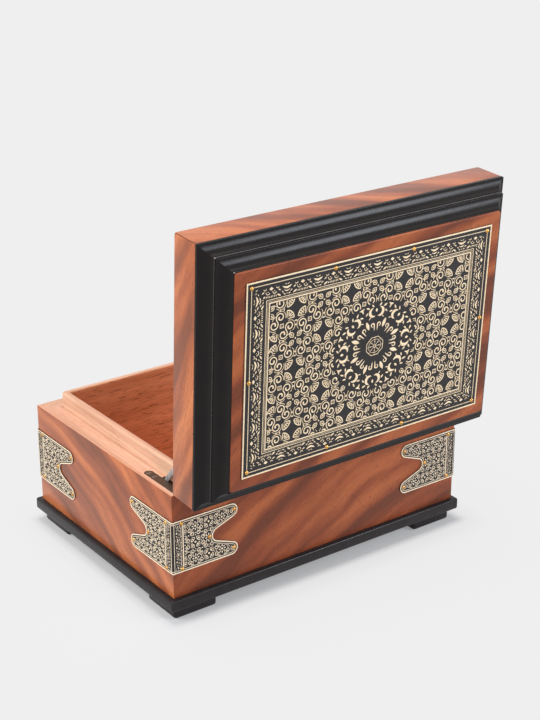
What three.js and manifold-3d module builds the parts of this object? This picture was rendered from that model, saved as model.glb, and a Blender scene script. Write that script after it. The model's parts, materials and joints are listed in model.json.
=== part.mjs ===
// Cigar humidor, standing open: a veneered chest on a black plinth, lined with cedar boards that
// rise above the rim, and a lid framed by a two-cove moulding round a raised, plated panel.
// Folded fishtail brackets wrap the corners, and two quadrant hinges carry and stop the lid.
// Millimetres, +Z up, the front at -Y. The origin lies under the middle of the open box.
import * as THREE from "three";
import { mergeVertices } from "three/addons/utils/BufferGeometryUtils.js";
import Module from "manifold-3d";

const wasm = await Module();
wasm.setup();

// Chest
const boxWidth = 300;
const boxDepth = 219.5;
const chestHeight = 92.4;
const wallThickness = 16.4;
const bottomThickness = 8;

// Cedar lining of the chest: its boards rise above the rim as the lip that the lid closes over
const liningThickness = 7;
const lipHeight = 14.9;
const lipRound = 2.8;
const floorThickness = 4;

// Plinth board and feet
const plinthOverhang = 4.5;
const plinthThickness = 10.1;
const plinthCorner = 1.6;
const plinthRound = 1.5;
const footHeight = 11;
const footSize = 41.5;
const footInset = 1.4;
const footCorner = 2;
const footRound = 2.6;

// Lid
const openAngle = THREE.MathUtils.degToRad(93.1);
const lidSideHeight = 27.7;
const lipClearance = 0.6;
const lidBoardThickness = 6;
const lidLiningThickness = 3;
const rimGap = 0.3;

// Moulding: two coves, each hollowed above an upright fillet, with a narrow ledge between them
const mouldingHeight = 21.4;
const mouldingFillet = 2.3;
const mouldingLedge = 0.6;

// Raised panel and its pinned plate
const panelInset = 19.6;
const panelRise = 22.7;
const panelCorner = 2.5;
const panelRound = 1.2;
const plateInset = 29.2;
const plateThickness = 0.8;
const plateCorner = 1.2;

// Corner brackets: a sheet folded round the corner, each leg cut to a fishtail
const bracketThickness = 1;
const bracketLeg = 62.7;
const bracketHeight = 47.1;
const bracketMiddle = 45.8;
const bracketFold = 1.4;
const fishtailDepth = 24.4;
const tipRadius = 6;
const notchRadius = 8.8;

// Quadrant hinges: two leaves let into the rims, a pinned knuckle, and a bowed strut between them.
// The strut's middle is how far its mid-line passes from the pivot, and its bow that line's radius.
const pivotBehind = 1.5;
const leafThickness = 1.6;
const leafLength = 51.5;
const leafInset = 4.5;
const leafWidth = 7.7;
const leafHeadWidth = 10.9;
const leafHeadLength = 34.5;
const leafHeadSetback = 6;
const knuckleRadius = 2.1;
const pinRadius = 0.8;
const strutMiddle = 21;
const strutBow = 120;
const strutWidth = 4.2;
const strutThickness = 1.6;
const strutInset = 13.3;
const stopPinRadius = 1.2;
const stopPinLength = 3.2;
const screwPlaces = [39, 47.7];
const screwHeadRadius = 2.2;
const screwHeadDepth = 1.1;
const screwShankRadius = 1.1;
const screwTipRadius = 0.4;
const screwPointLength = 3.3;
const screwLength = 11;

// Hygrometer, let into the lid; its place is measured from the box's right-hand side
const hygrometerInset = 74;
const hygrometerRadius = 22;
const hygrometerDepth = 8;
const hygrometerWall = 1;
const bezelWidth = 4;
const bezelHeight = 3;
const lensThickness = 1;
const dialDepth = 2.2;
const dialThickness = 0.6;
const needleLength = 15;
const needleTail = 6;
const needleWidth = 1.2;
const needleTipWidth = 0.3;
const needleThickness = 0.4;
const needleReading = THREE.MathUtils.degToRad(54);
const hubRadius = 2;
const stemRadius = 0.7;

// Humidifier, held to the lid by magnets: it fills the length from its inset on the box's left-hand
// side to a margin beside the hygrometer
const humidifierInset = 52;
const humidifierMargin = 20;
const humidifierWidth = 58;
const humidifierDepth = 12;
const humidifierWall = 2;
const humidifierCorner = 6;
const humidifierRound = 1.2;
const keeperLength = 90;
const keeperWidth = 18;
const keeperThickness = 0.8;
const keeperCorner = 2;
const magnetRadius = 5;
const magnetThickness = 1.4;
const magnetSpread = 34;
const grilleThickness = 1.4;
const slotWidth = 2.6;
const slotLength = 38;
const slotPitch = 6.4;

// Clearances, and how far a cutter reaches past the face that it opens
const gap = 0.3;
const runningGap = 0.05;
const screwGap = 0.1;
const overrun = 1;

// Levels of the chest, from the surface that the box stands on
const chestBottom = footHeight + plinthThickness;
const rim = chestBottom + chestHeight;
const floorTop = chestBottom + bottomThickness + floorThickness;

// The hinge pivot, and the levels of the lid, which is drawn closed and measured from the pivot
const pivotY = boxDepth / 2 + pivotBehind;
const pivotZ = rim + rimGap / 2;
const leafFace = rimGap / 2;
const lidWall = wallThickness - lipClearance;
const lidTop = leafFace + lidSideHeight;
const lidCeiling = lidTop - lidBoardThickness - gap - lidLiningThickness;
const hygrometerX = boxWidth / 2 - hygrometerInset;
const humidifierEnd = hygrometerX - hygrometerRadius - bezelWidth - humidifierMargin;
const humidifierLength = humidifierEnd + boxWidth / 2 - humidifierInset;
const humidifierX = humidifierEnd - humidifierLength / 2;

const roundSteps = 24;
const cornerSteps = 4;

const veneer = finish(0xa5583a, 0.38, 0);
const cedar = finish(0xf0b99a, 0.7, 0);
const ebonised = finish(0x302e31, 0.35, 0);
const damascene = finish(0x8a7d62, 0.4, 0.7);
const bronze = finish(0x3d2c22, 0.4, 0.9);
const steel = finish(0x9aa0a6, 0.3, 0.95);
const brass = finish(0xc79a4b, 0.3, 0.95);
const paper = finish(0xf3efe2, 0.8, 0);
const glass = finish(0xdde6e8, 0.05, 0);
const plastic = finish(0x1c1c1e, 0.5, 0);
const foam = finish(0x3f6b4a, 0.95, 0);

// Which way each board of a mitred frame faces, and which way it runs
const sides = {
  front: { out: [0, -1], along: [1, 0] },
  back: { out: [0, 1], along: [-1, 0] },
  left: { out: [-1, 0], along: [0, -1] },
  right: { out: [1, 0], along: [0, 1] },
};
const hands = { left: -1, right: 1 };

function finish(color, roughness, metalness) {
  return new THREE.MeshStandardMaterial({ color, roughness, metalness });
}

function solidOf(geometry) {
  const bare = geometry.clone();
  bare.deleteAttribute("normal");
  bare.deleteAttribute("uv");
  const merged = mergeVertices(bare, 1e-4);
  const vertProperties = merged.attributes.position.array;
  const triVerts = new Uint32Array(merged.index.array);
  return new wasm.Manifold(new wasm.Mesh({ numProp: 3, vertProperties, triVerts }));
}

function geometryOf(solid) {
  const { vertProperties, triVerts } = solid.getMesh();
  const geometry = new THREE.BufferGeometry();
  geometry.setAttribute("position", new THREE.BufferAttribute(vertProperties, 3));
  geometry.setIndex(new THREE.BufferAttribute(triVerts, 1));
  geometry.computeVertexNormals();
  return geometry;
}

function addPiece(group, name, material, shape) {
  const geometry = shape.isBufferGeometry ? shape : geometryOf(shape);
  const mesh = new THREE.Mesh(geometry, material);
  mesh.name = name;
  group.add(mesh);
}

function groupAt(parent, x, y, z) {
  const group = new THREE.Group();
  group.position.set(x, y, z);
  parent.add(group);
  return group;
}

// Skins a stack of rings, each with one position per point of the outline, and caps both ends.
function loft(outline, rings) {
  const count = outline.length;
  const last = (rings.length - 1) * count;
  const caps = THREE.ShapeUtils.triangulateShape(outline, []);
  const index = caps.flatMap(([a, b, c]) => [c, b, a, a + last, b + last, c + last]);
  for (let start = 0; start < last; start += count) {
    for (let i = 0; i < count; i++) {
      const here = start + i;
      const next = start + ((i + 1) % count);
      index.push(here, next, next + count, here, next + count, here + count);
    }
  }
  const geometry = new THREE.BufferGeometry();
  geometry.setAttribute("position", new THREE.Float32BufferAttribute(rings.flat(2), 3));
  geometry.setIndex(index);
  geometry.computeVertexNormals();
  return geometry;
}

// A straight bar with this section; place() puts a section point at the near (0) or far (1) end.
function prism(section, place) {
  const outline = THREE.ShapeUtils.isClockWise(section) ? [...section].reverse() : section;
  return loft(
    outline,
    [0, 1].map((end) => outline.map(({ x, y }) => place(x, y, end))),
  );
}

// The points round a shape, without the repeat of the first that ends a curved one.
function edgeOf(shape, steps) {
  const points = shape.getPoints(steps);
  if (points.at(-1).distanceTo(points[0]) < runningGap) points.pop();
  return points;
}

function rectangle(x0, x1, y0, y1) {
  return [
    new THREE.Vector2(x0, y0),
    new THREE.Vector2(x1, y0),
    new THREE.Vector2(x1, y1),
    new THREE.Vector2(x0, y1),
  ];
}

function block([x0, x1], [y0, y1], [z0, z1]) {
  return prism(rectangle(x0, x1, y0, y1), (x, y, end) => [x, y, end ? z1 : z0]);
}

// A board with rounded corners in plan and, where asked, rounded lower and upper edges.
function roundedBoard([x0, x1], [y0, y1], [z0, z1], corner, lowerRound, upperRound) {
  const bend = Math.max(corner, lowerRound + gap, upperRound + gap);
  const bends = [
    [x1 - bend, y1 - bend],
    [x0 + bend, y1 - bend],
    [x0 + bend, y0 + bend],
    [x1 - bend, y0 + bend],
  ];
  const ring = (inset, z) =>
    bends.flatMap(([x, y], quarter) =>
      Array.from({ length: cornerSteps + 1 }, (_, step) => {
        const angle = ((quarter + step / cornerSteps) * Math.PI) / 2;
        const reach = bend - inset;
        return [x + reach * Math.cos(angle), y + reach * Math.sin(angle), z];
      }),
    );
  const edge = (radius, level, way) => {
    if (radius === 0) return [ring(0, level)];
    return Array.from({ length: cornerSteps + 1 }, (_, step) => {
      const angle = ((step / cornerSteps) * Math.PI) / 2;
      return ring(radius * (1 - Math.sin(angle)), level + way * radius * (1 - Math.cos(angle)));
    });
  };
  const rings = [...edge(lowerRound, z0, 1), ...edge(upperRound, z1, -1).reverse()];
  const outline = rings[0].map(([x, y]) => new THREE.Vector2(x, y));
  return loft(outline, rings);
}

// One board of a mitred frame as large as the box; its section is (inset from outside, height).
function mitredBoard(side, section, middleY = 0) {
  const { out, along } = sides[side];
  const reachAlong = (way) => (way[0] === 0 ? boxDepth : boxWidth) / 2;
  const mitreTrim = gap / Math.SQRT2;
  return prism(section, (inset, z, end) => {
    const distance = reachAlong(out) - inset;
    const run = (reachAlong(along) - inset - mitreTrim) * (end ? 1 : -1);
    return [out[0] * distance + along[0] * run, middleY + out[1] * distance + along[1] * run, z];
  });
}

// A turned piece standing on +Z; its profile is (radius, height), counter-clockwise.
function turned(profile, steps = roundSteps) {
  const points = profile.map(([radius, height]) => new THREE.Vector2(radius, height));
  return new THREE.LatheGeometry(points, steps).rotateX(Math.PI / 2);
}

function disc(radius, z0, z1, steps = roundSteps) {
  return turned([[0, z0], [radius, z0], [radius, z1], [0, z1]], steps);
}

// A round bar across the box, between two insets from the left-hand side.
function crossBar(radius, inset0, inset1, y = 0, z = 0) {
  const bar = new THREE.CylinderGeometry(radius, radius, inset1 - inset0, roundSteps);
  bar.rotateZ(Math.PI / 2);
  return bar.translate(-boxWidth / 2 + (inset0 + inset1) / 2, y, z);
}

// A mirrored geometry's faces look inwards until they are turned over.
function turnInsideOut(geometry) {
  const corners = geometry.index.array;
  for (let i = 0; i < corners.length; i += 3) {
    [corners[i], corners[i + 1]] = [corners[i + 1], corners[i]];
  }
}

// Hinge parts are drawn for the left of the chest, from the pivot. Mirrored across the box they
// serve the right, and mirrored in the rim they serve the lid.
function handed(solid, hand, inLid = false) {
  const geometry = geometryOf(solid);
  const flipX = hand === hands.right ? -1 : 1;
  const flipZ = inLid ? -1 : 1;
  geometry.scale(flipX, 1, flipZ);
  if (flipX !== flipZ) turnInsideOut(geometry);
  return geometry;
}

function makeChest() {
  const section = rectangle(0, wallThickness, chestBottom, rim);
  for (const side of Object.keys(sides)) {
    let wall = solidOf(mitredBoard(side, section));
    for (const hand of handsOn(side)) {
      const seat = handed(hingeSeat(), hand).translate(0, pivotY, pivotZ);
      wall = wall.subtract(solidOf(seat));
    }
    addPiece(humidor, `wall_${side}`, veneer, wall);
  }
  const inside = insideFaces(wallThickness);
  const board = block(inside.x, inside.y, [chestBottom, chestBottom + bottomThickness]);
  addPiece(humidor, "bottom_board", cedar, board);
}

// The hinges whose seats reach into a wall: both in the back, one in each side, none in the front.
function handsOn(side) {
  if (side === "back") return Object.values(hands);
  return side === "front" ? [] : [hands[side]];
}

function insideFaces(inset, middleY = 0) {
  const x = boxWidth / 2 - inset;
  const y = boxDepth / 2 - inset;
  return { x: [-x, x], y: [middleY - y, middleY + y] };
}

// The lining boards: square below, rounded over along both edges of the lip.
function makeLining() {
  const outer = wallThickness;
  const inner = wallThickness + liningThickness;
  const top = rim + lipHeight;
  const round = Math.min(lipRound, liningThickness / 2 - runningGap);
  const section = new THREE.Shape();
  section.moveTo(outer, chestBottom + bottomThickness);
  section.lineTo(inner, chestBottom + bottomThickness);
  section.absarc(inner - round, top - round, round, 0, Math.PI / 2, false);
  section.absarc(outer + round, top - round, round, Math.PI / 2, Math.PI, false);
  for (const side of Object.keys(sides)) {
    const board = mitredBoard(side, edgeOf(section, cornerSteps / 2));
    addPiece(humidor, `lining_${side}`, cedar, board);
  }
  const inside = insideFaces(inner);
  const board = block(inside.x, inside.y, [chestBottom + bottomThickness, floorTop]);
  addPiece(humidor, "lining_floor", cedar, board);
}

function makePlinth() {
  const { x, y } = insideFaces(-plinthOverhang);
  const levels = [footHeight, chestBottom];
  const board = roundedBoard(x, y, levels, plinthCorner, plinthRound, plinthRound);
  addPiece(humidor, "plinth_board", ebonised, board);

  const farX = boxWidth / 2 - footInset;
  const farY = boxDepth / 2 - footInset;
  for (const [end, wayY] of [["front", -1], ["back", 1]]) {
    for (const [hand, wayX] of Object.entries(hands)) {
      const spanX = [wayX * farX, wayX * (farX - footSize)].sort((a, b) => a - b);
      const spanY = [wayY * farY, wayY * (farY - footSize)].sort((a, b) => a - b);
      const foot = roundedBoard(spanX, spanY, [0, footHeight], footCorner, footRound, 0);
      addPiece(humidor, `foot_${end}_${hand}`, ebonised, foot);
    }
  }
}

// One leg of a bracket, flat: straight above and below, its end cut to two tips and a notch.
function fishtail(start) {
  const half = bracketHeight / 2;
  const tipX = bracketLeg - tipRadius;
  const tipY = half - tipRadius;
  const notchX = bracketLeg - fishtailDepth + notchRadius;
  // The edge between a tip and the notch touches both arcs, one from each side.
  const apart = Math.hypot(tipX - notchX, tipY);
  const lean = Math.atan2(tipY, tipX - notchX) + Math.acos((tipRadius + notchRadius) / apart);
  const outline = new THREE.Shape();
  outline.moveTo(start, half);
  outline.lineTo(tipX, half);
  outline.absarc(tipX, tipY, tipRadius, Math.PI / 2, lean - Math.PI, true);
  outline.absarc(notchX, 0, notchRadius, lean, 2 * Math.PI - lean, false);
  outline.absarc(tipX, -tipY, tipRadius, Math.PI - lean, -Math.PI / 2, true);
  outline.lineTo(start, -half);
  return edgeOf(outline, cornerSteps + 2);
}

// The bracket of the back right corner; the others are its mirror images.
function bracketSolid() {
  const cornerX = boxWidth / 2;
  const cornerY = boxDepth / 2;
  const outerX = cornerX + bracketThickness;
  const outerY = cornerY + bracketThickness;
  const middle = chestBottom + bracketMiddle;
  const foldReach = 2 * bracketFold;
  const leg = fishtail(bracketFold);
  const along = prism(leg, (u, v, end) => [cornerX - u, end ? outerY : cornerY, middle + v]);
  const across = prism(leg, (u, v, end) => [end ? cornerX : outerX, cornerY - u, middle + v]);
  const fold = new THREE.Shape();
  fold.moveTo(cornerX - foldReach, cornerY);
  fold.lineTo(cornerX, cornerY);
  fold.lineTo(cornerX, cornerY - foldReach);
  fold.lineTo(outerX, cornerY - foldReach);
  fold.absarc(outerX - bracketFold, outerY - bracketFold, bracketFold, 0, Math.PI / 2, false);
  fold.lineTo(cornerX - foldReach, outerY);
  const half = bracketHeight / 2;
  const spine = prism(edgeOf(fold, cornerSteps), (x, y, end) => [
    x,
    y,
    end ? middle + half : middle - half,
  ]);
  return solidOf(spine).add(solidOf(along)).add(solidOf(across));
}

function makeBrackets() {
  const pattern = geometryOf(bracketSolid());
  for (const [end, flipY] of [["front", -1], ["back", 1]]) {
    for (const [hand, flipX] of Object.entries(hands)) {
      const geometry = pattern.clone().scale(flipX, flipY, 1);
      if (flipX !== flipY) turnInsideOut(geometry);
      addPiece(humidor, `bracket_${end}_${hand}`, damascene, geometry);
    }
  }
}

function makeLid() {
  const section = rectangle(0, lidWall, leafFace, lidTop);
  for (const side of Object.keys(sides)) {
    let wall = solidOf(mitredBoard(side, section, -pivotY));
    for (const hand of handsOn(side)) {
      wall = wall.subtract(solidOf(handed(hingeSeat(), hand, true)));
    }
    addPiece(lid, `lid_wall_${side}`, veneer, wall);
  }
  const inside = insideFaces(lidWall + gap, -pivotY);
  const boreLevels = [lidCeiling - overrun, lidCeiling + hygrometerDepth + gap];
  const bore = disc(hygrometerRadius + gap, ...boreLevels);
  const hole = solidOf(bore.translate(hygrometerX, -pivotY, 0));
  const board = solidOf(block(inside.x, inside.y, [lidTop - lidBoardThickness, lidTop]));
  addPiece(lid, "lid_board", cedar, board.subtract(hole));
  const sheet = solidOf(block(inside.x, inside.y, [lidCeiling, lidCeiling + lidLiningThickness]));
  addPiece(lid, "lid_lining", cedar, sheet.subtract(hole));

  const panel = insideFaces(panelInset, -pivotY);
  const panelLevels = [lidTop + gap, lidTop + panelRise];
  const raised = roundedBoard(panel.x, panel.y, panelLevels, panelCorner, 0, panelRound);
  addPiece(lid, "raised_panel", veneer, raised);

  const plate = insideFaces(plateInset, -pivotY);
  const plateBottom = panelLevels[1] + gap;
  const plateLevels = [plateBottom, plateBottom + plateThickness];
  const sheetMetal = roundedBoard(plate.x, plate.y, plateLevels, plateCorner, 0, 0);
  addPiece(lid, "ornament_plate", damascene, sheetMetal);
}

// Four mitred lengths round the raised panel, each with two quarter-ellipse coves.
function makeMoulding() {
  const base = lidTop + gap;
  const coveWidth = (panelInset - gap) / 2 - mouldingLedge;
  const coveHeight = mouldingHeight / 2 - mouldingFillet;
  const section = new THREE.Shape();
  section.moveTo(panelInset - gap, base);
  section.lineTo(0, base);
  for (const cove of [0, 1]) {
    const inset = cove * (coveWidth + mouldingLedge);
    const top = base + ((cove + 1) * mouldingHeight) / 2;
    section.lineTo(inset, top - coveHeight);
    section.absellipse(inset, top, coveWidth, coveHeight, 1.5 * Math.PI, 2 * Math.PI, false, 0);
    section.lineTo(inset + coveWidth + mouldingLedge, top);
  }
  for (const side of Object.keys(sides)) {
    const length = mitredBoard(side, edgeOf(section, cornerSteps), -pivotY);
    addPiece(lid, `moulding_${side}`, ebonised, length);
  }
}

// The strut's mid-line in the closed box, as an arc about a point behind the pivot. It ends at the
// stop pins, which meet the undersides of the leaves when the lid stands open.
function strutLine() {
  const pinDepth = leafFace + leafThickness + stopPinRadius + gap / 2;
  const centre = strutBow - strutMiddle;
  const turn = openAngle / 2;
  const span = turn + Math.asin((pinDepth - centre * Math.sin(turn)) / strutBow);
  const near = strutBow * Math.cos(span) - centre;
  const depth = strutBow * Math.sin(span);
  return { centre, span, near, depth, reach: Math.hypot(near, depth) };
}

// The leaf's plan, as (inset from the side, distance from the pivot), grown by a margin.
function leafOutline(margin) {
  const outer = leafInset - margin;
  const inner = leafInset + leafWidth + margin;
  const head = leafInset + leafHeadWidth + margin;
  const endRadius = leafWidth / 2 + margin;
  const endY = -(leafLength - leafWidth / 2);
  const outline = new THREE.Shape();
  outline.moveTo(inner, 0);
  outline.lineTo(outer, 0);
  outline.absarc(leafInset + leafWidth / 2, endY, endRadius, Math.PI, 2 * Math.PI, false);
  outline.lineTo(inner, -leafHeadLength - margin);
  outline.lineTo(head, -leafHeadLength - margin);
  outline.lineTo(head, -leafHeadSetback + margin);
  outline.lineTo(inner, -leafHeadSetback + margin);
  return edgeOf(outline, cornerSteps);
}

function leafPlate(margin, z0, z1) {
  return solidOf(
    prism(leafOutline(margin), (inset, y, end) => [-boxWidth / 2 + inset, y, end ? z1 : z0]),
  );
}

// The three knuckles share the leaf's width: the outer two on the chest's leaf, the middle on the lid's.
function knuckleSpans(inLid) {
  const third = leafWidth / 3;
  const shares = inLid ? [[1, 2]] : [[0, 1], [2, 3]];
  return shares.map(([from, to]) => [
    leafInset + from * third + (from > 0 ? gap / 2 : 0),
    leafInset + to * third - (to < 3 ? gap / 2 : 0),
  ]);
}

// What is cut out of a rim for one leaf: its bed, the knuckle, the strut's mortise, the screw holes.
function hingeSeat() {
  const bed = leafPlate(gap, -(leafFace + leafThickness + gap), overrun);
  const knuckle = crossBar(knuckleRadius + gap, leafInset - gap, leafInset + leafWidth + gap);
  const line = strutLine();
  const margin = strutWidth / 2 + gap;
  const halfThickness = stopPinLength / 2 + gap;
  const mortise = block(
    [strutInset - halfThickness - boxWidth / 2, strutInset + halfThickness - boxWidth / 2],
    [-(line.reach + margin), -(line.near - margin)],
    [-(line.depth + margin), 0],
  );
  let seat = bed.add(solidOf(knuckle)).add(solidOf(mortise));
  for (const place of screwPlaces) {
    const hole = disc(screwShankRadius + screwGap, -(screwLength + gap), 0, roundSteps / 2);
    seat = seat.add(solidOf(hole.translate(screwX(), -place, -leafFace)));
  }
  return seat;
}

function screwX() {
  return leafInset + leafWidth / 2 - boxWidth / 2;
}

// A countersunk screw with its head level at 0.
function screwSolid() {
  const profile = [
    [0, -screwLength],
    [screwTipRadius, -screwLength],
    [screwShankRadius, -screwLength + screwPointLength],
    [screwShankRadius, -screwHeadDepth],
    [screwHeadRadius, 0],
    [0, 0],
  ];
  return turned(profile, roundSteps / 2);
}

// The countersunk hole for a screw, through a leaf whose face is at 0.
function screwHole() {
  const shank = screwShankRadius + screwGap;
  const head = screwHeadRadius + screwGap;
  const profile = [
    [0, -leafThickness - overrun],
    [shank, -leafThickness - overrun],
    [shank, -screwHeadDepth],
    [head, 0],
    [head, overrun],
    [0, overrun],
  ];
  return turned(profile, roundSteps / 2);
}

function leafSolid(inLid) {
  let leaf = leafPlate(0, -(leafFace + leafThickness), -leafFace);
  for (const [from, to] of knuckleSpans(!inLid)) {
    leaf = leaf.subtract(solidOf(crossBar(knuckleRadius + gap, from - gap, to + gap)));
  }
  for (const [from, to] of knuckleSpans(inLid)) {
    leaf = leaf.add(solidOf(crossBar(knuckleRadius, from, to)));
  }
  const boreEnds = [leafInset - overrun, leafInset + leafWidth + overrun];
  leaf = leaf.subtract(solidOf(crossBar(pinRadius + runningGap, ...boreEnds)));
  const slotSide = strutThickness / 2 + gap / 2;
  const margin = strutWidth / 2 + gap;
  const slot = block(
    [strutInset - slotSide - boxWidth / 2, strutInset + slotSide - boxWidth / 2],
    [-(strutLine().reach + margin), -(strutMiddle - margin)],
    [-(leafFace + leafThickness + overrun), overrun],
  );
  leaf = leaf.subtract(solidOf(slot));
  for (const place of screwPlaces) {
    leaf = leaf.subtract(solidOf(screwHole().translate(screwX(), -place, -leafFace)));
  }
  return leaf;
}

// The bowed strut, drawn as it lies in the closed box, half above the rim and half below.
function strutSolid() {
  const { centre, span, near, depth } = strutLine();
  const half = strutWidth / 2;
  const low = { angle: Math.PI + span, y: -near, z: -depth };
  const high = { angle: Math.PI - span, y: -near, z: depth };
  const outline = new THREE.Shape();
  outline.absarc(centre, 0, strutBow + half, high.angle, low.angle, false);
  outline.absarc(low.y, low.z, half, low.angle, low.angle + Math.PI, false);
  outline.absarc(centre, 0, strutBow - half, low.angle, high.angle, true);
  outline.absarc(high.y, high.z, half, high.angle + Math.PI, high.angle + 2 * Math.PI, false);
  const flank = strutInset - strutThickness / 2 - boxWidth / 2;
  const edge = edgeOf(outline, 2 * cornerSteps);
  let strut = solidOf(prism(edge, (y, z, end) => [flank + end * strutThickness, y, z]));
  for (const { y, z } of [low, high]) {
    const from = strutInset - stopPinLength / 2;
    strut = strut.add(solidOf(crossBar(stopPinRadius, from, from + stopPinLength, y, z)));
  }
  return strut;
}

function makeHinges() {
  const chestPivot = groupAt(humidor, 0, pivotY, pivotZ);
  const strutPivot = groupAt(humidor, 0, pivotY, pivotZ);
  strutPivot.rotation.x = -openAngle / 2;
  const pin = crossBar(pinRadius, leafInset, leafInset + leafWidth);
  for (const [side, hand] of Object.entries(hands)) {
    addPiece(chestPivot, `hinge_leaf_chest_${side}`, bronze, handed(leafSolid(false), hand));
    addPiece(lid, `hinge_leaf_lid_${side}`, bronze, handed(leafSolid(true), hand, true));
    addPiece(chestPivot, `hinge_pin_${side}`, steel, handed(solidOf(pin), hand));
    addPiece(strutPivot, `hinge_strut_${side}`, steel, handed(strutSolid(), hand));
    screwPlaces.forEach((place, i) => {
      const screw = solidOf(screwSolid().translate(screwX(), -place, -leafFace));
      addPiece(chestPivot, `screw_chest_${side}_${i + 1}`, steel, handed(screw, hand));
      addPiece(lid, `screw_lid_${side}_${i + 1}`, steel, handed(screw, hand, true));
    });
  }
}

// Heights here run from the lid's lining into the lid, so the face is below 0.
function makeHygrometer() {
  const face = groupAt(lid, hygrometerX, -pivotY, lidCeiling);
  const boreRadius = hygrometerRadius - hygrometerWall;
  const ledgeRadius = boreRadius - 2 * hygrometerWall;
  const lensTop = -gap - lensThickness / 2;
  const lensBottom = lensTop - lensThickness;
  const caseRim = lensTop + gap;
  const dialTop = dialDepth + dialThickness;
  const seat = dialTop + gap;
  const back = hygrometerDepth;
  const cup = turned([
    [0, back - hygrometerWall],
    [ledgeRadius, back - hygrometerWall],
    [ledgeRadius, seat],
    [boreRadius, seat],
    [boreRadius, caseRim],
    [hygrometerRadius, caseRim],
    [hygrometerRadius, back],
    [0, back],
  ]);
  addPiece(face, "hygrometer_case", brass, cup);

  const bezelOuter = hygrometerRadius + bezelWidth;
  const lipInner = hygrometerRadius - 2 * hygrometerWall;
  const lipTop = lensBottom - gap;
  const bezel = turned([
    [lipInner, -bezelHeight],
    [bezelOuter - bezelWidth / 2, -bezelHeight],
    [bezelOuter, -bezelHeight / 2],
    [bezelOuter, -gap],
    [hygrometerRadius + gap, -gap],
    [hygrometerRadius + gap, lipTop],
    [lipInner, lipTop],
    [lipInner, -bezelHeight],
  ]);
  addPiece(face, "hygrometer_bezel", brass, bezel);
  addPiece(face, "hygrometer_lens", glass, disc(hygrometerRadius, lensBottom, lensTop));

  const holeEnds = [dialDepth - overrun, dialTop + overrun];
  const stemHole = solidOf(disc(stemRadius + runningGap, ...holeEnds));
  const dial = solidOf(disc(boreRadius - gap, dialDepth, dialTop)).subtract(stemHole);
  addPiece(face, "hygrometer_dial", paper, dial);
  addPiece(face, "hygrometer_needle", steel, needleSolid());
}

// A tapered pointer with a counterweight tail, a hub, and a stem that turns in the dial.
function needleSolid() {
  const level = dialDepth / 2;
  const outline = [
    new THREE.Vector2(-needleWidth / 2, needleTail),
    new THREE.Vector2(-needleWidth / 2, 0),
    new THREE.Vector2(-needleTipWidth / 2, -needleLength),
    new THREE.Vector2(needleTipWidth / 2, -needleLength),
    new THREE.Vector2(needleWidth / 2, 0),
    new THREE.Vector2(needleWidth / 2, needleTail),
  ];
  const blade = prism(outline, (x, y, end) => [x, y, level + (end - 0.5) * needleThickness]);
  const hub = disc(hubRadius, level - needleThickness, dialDepth - gap);
  const stem = disc(stemRadius, level, dialDepth + 2 * dialThickness);
  const needle = solidOf(blade).add(solidOf(hub)).add(solidOf(stem));
  return geometryOf(needle).rotateZ(needleReading);
}

function makeHumidifier() {
  const middle = groupAt(lid, humidifierX, -pivotY, lidCeiling);
  const span = (length) => [-length / 2, length / 2];
  const keeperLevels = [-gap - keeperThickness, -gap];
  const keeperPlan = [span(keeperLength), span(keeperWidth)];
  const keeper = roundedBoard(...keeperPlan, keeperLevels, keeperCorner, 0, 0);
  addPiece(middle, "humidifier_keeper", steel, keeper);

  const back = keeperLevels[0] - gap;
  const face = back - humidifierDepth;
  const pocketFloor = back - magnetThickness - gap;
  const floor = pocketFloor - humidifierWall / 2;
  const innerLength = humidifierLength - 2 * humidifierWall;
  const innerWidth = humidifierWidth - 2 * humidifierWall;
  const innerCorner = humidifierCorner - humidifierWall;
  const shellPlan = [span(humidifierLength), span(humidifierWidth)];
  const shell = roundedBoard(...shellPlan, [face, back], humidifierCorner, humidifierRound, 0);
  const hollowPlan = [span(innerLength), span(innerWidth)];
  const hollow = roundedBoard(...hollowPlan, [face - overrun, floor], innerCorner, 0, 0);
  let tray = solidOf(shell).subtract(solidOf(hollow));
  for (const [hand, way] of Object.entries(hands)) {
    const x = way * magnetSpread;
    const pocket = disc(magnetRadius + gap, pocketFloor, back + overrun);
    tray = tray.subtract(solidOf(pocket.translate(x, 0, 0)));
    const magnet = disc(magnetRadius, back - magnetThickness, back);
    addPiece(middle, `humidifier_magnet_${hand}`, steel, magnet.translate(x, 0, 0));
  }
  addPiece(middle, "humidifier_case", plastic, tray);

  const grilleBottom = face + humidifierWall / 4;
  addPiece(middle, "humidifier_grille", plastic, grille(innerLength, innerWidth, grilleBottom));
  const padPlan = [span(innerLength - 2 * gap), span(innerWidth - 2 * gap)];
  const padLevels = [grilleBottom + grilleThickness + gap, floor - gap];
  addPiece(middle, "humidifier_foam", foam, roundedBoard(...padPlan, padLevels, innerCorner, 0, 0));
}

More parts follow.
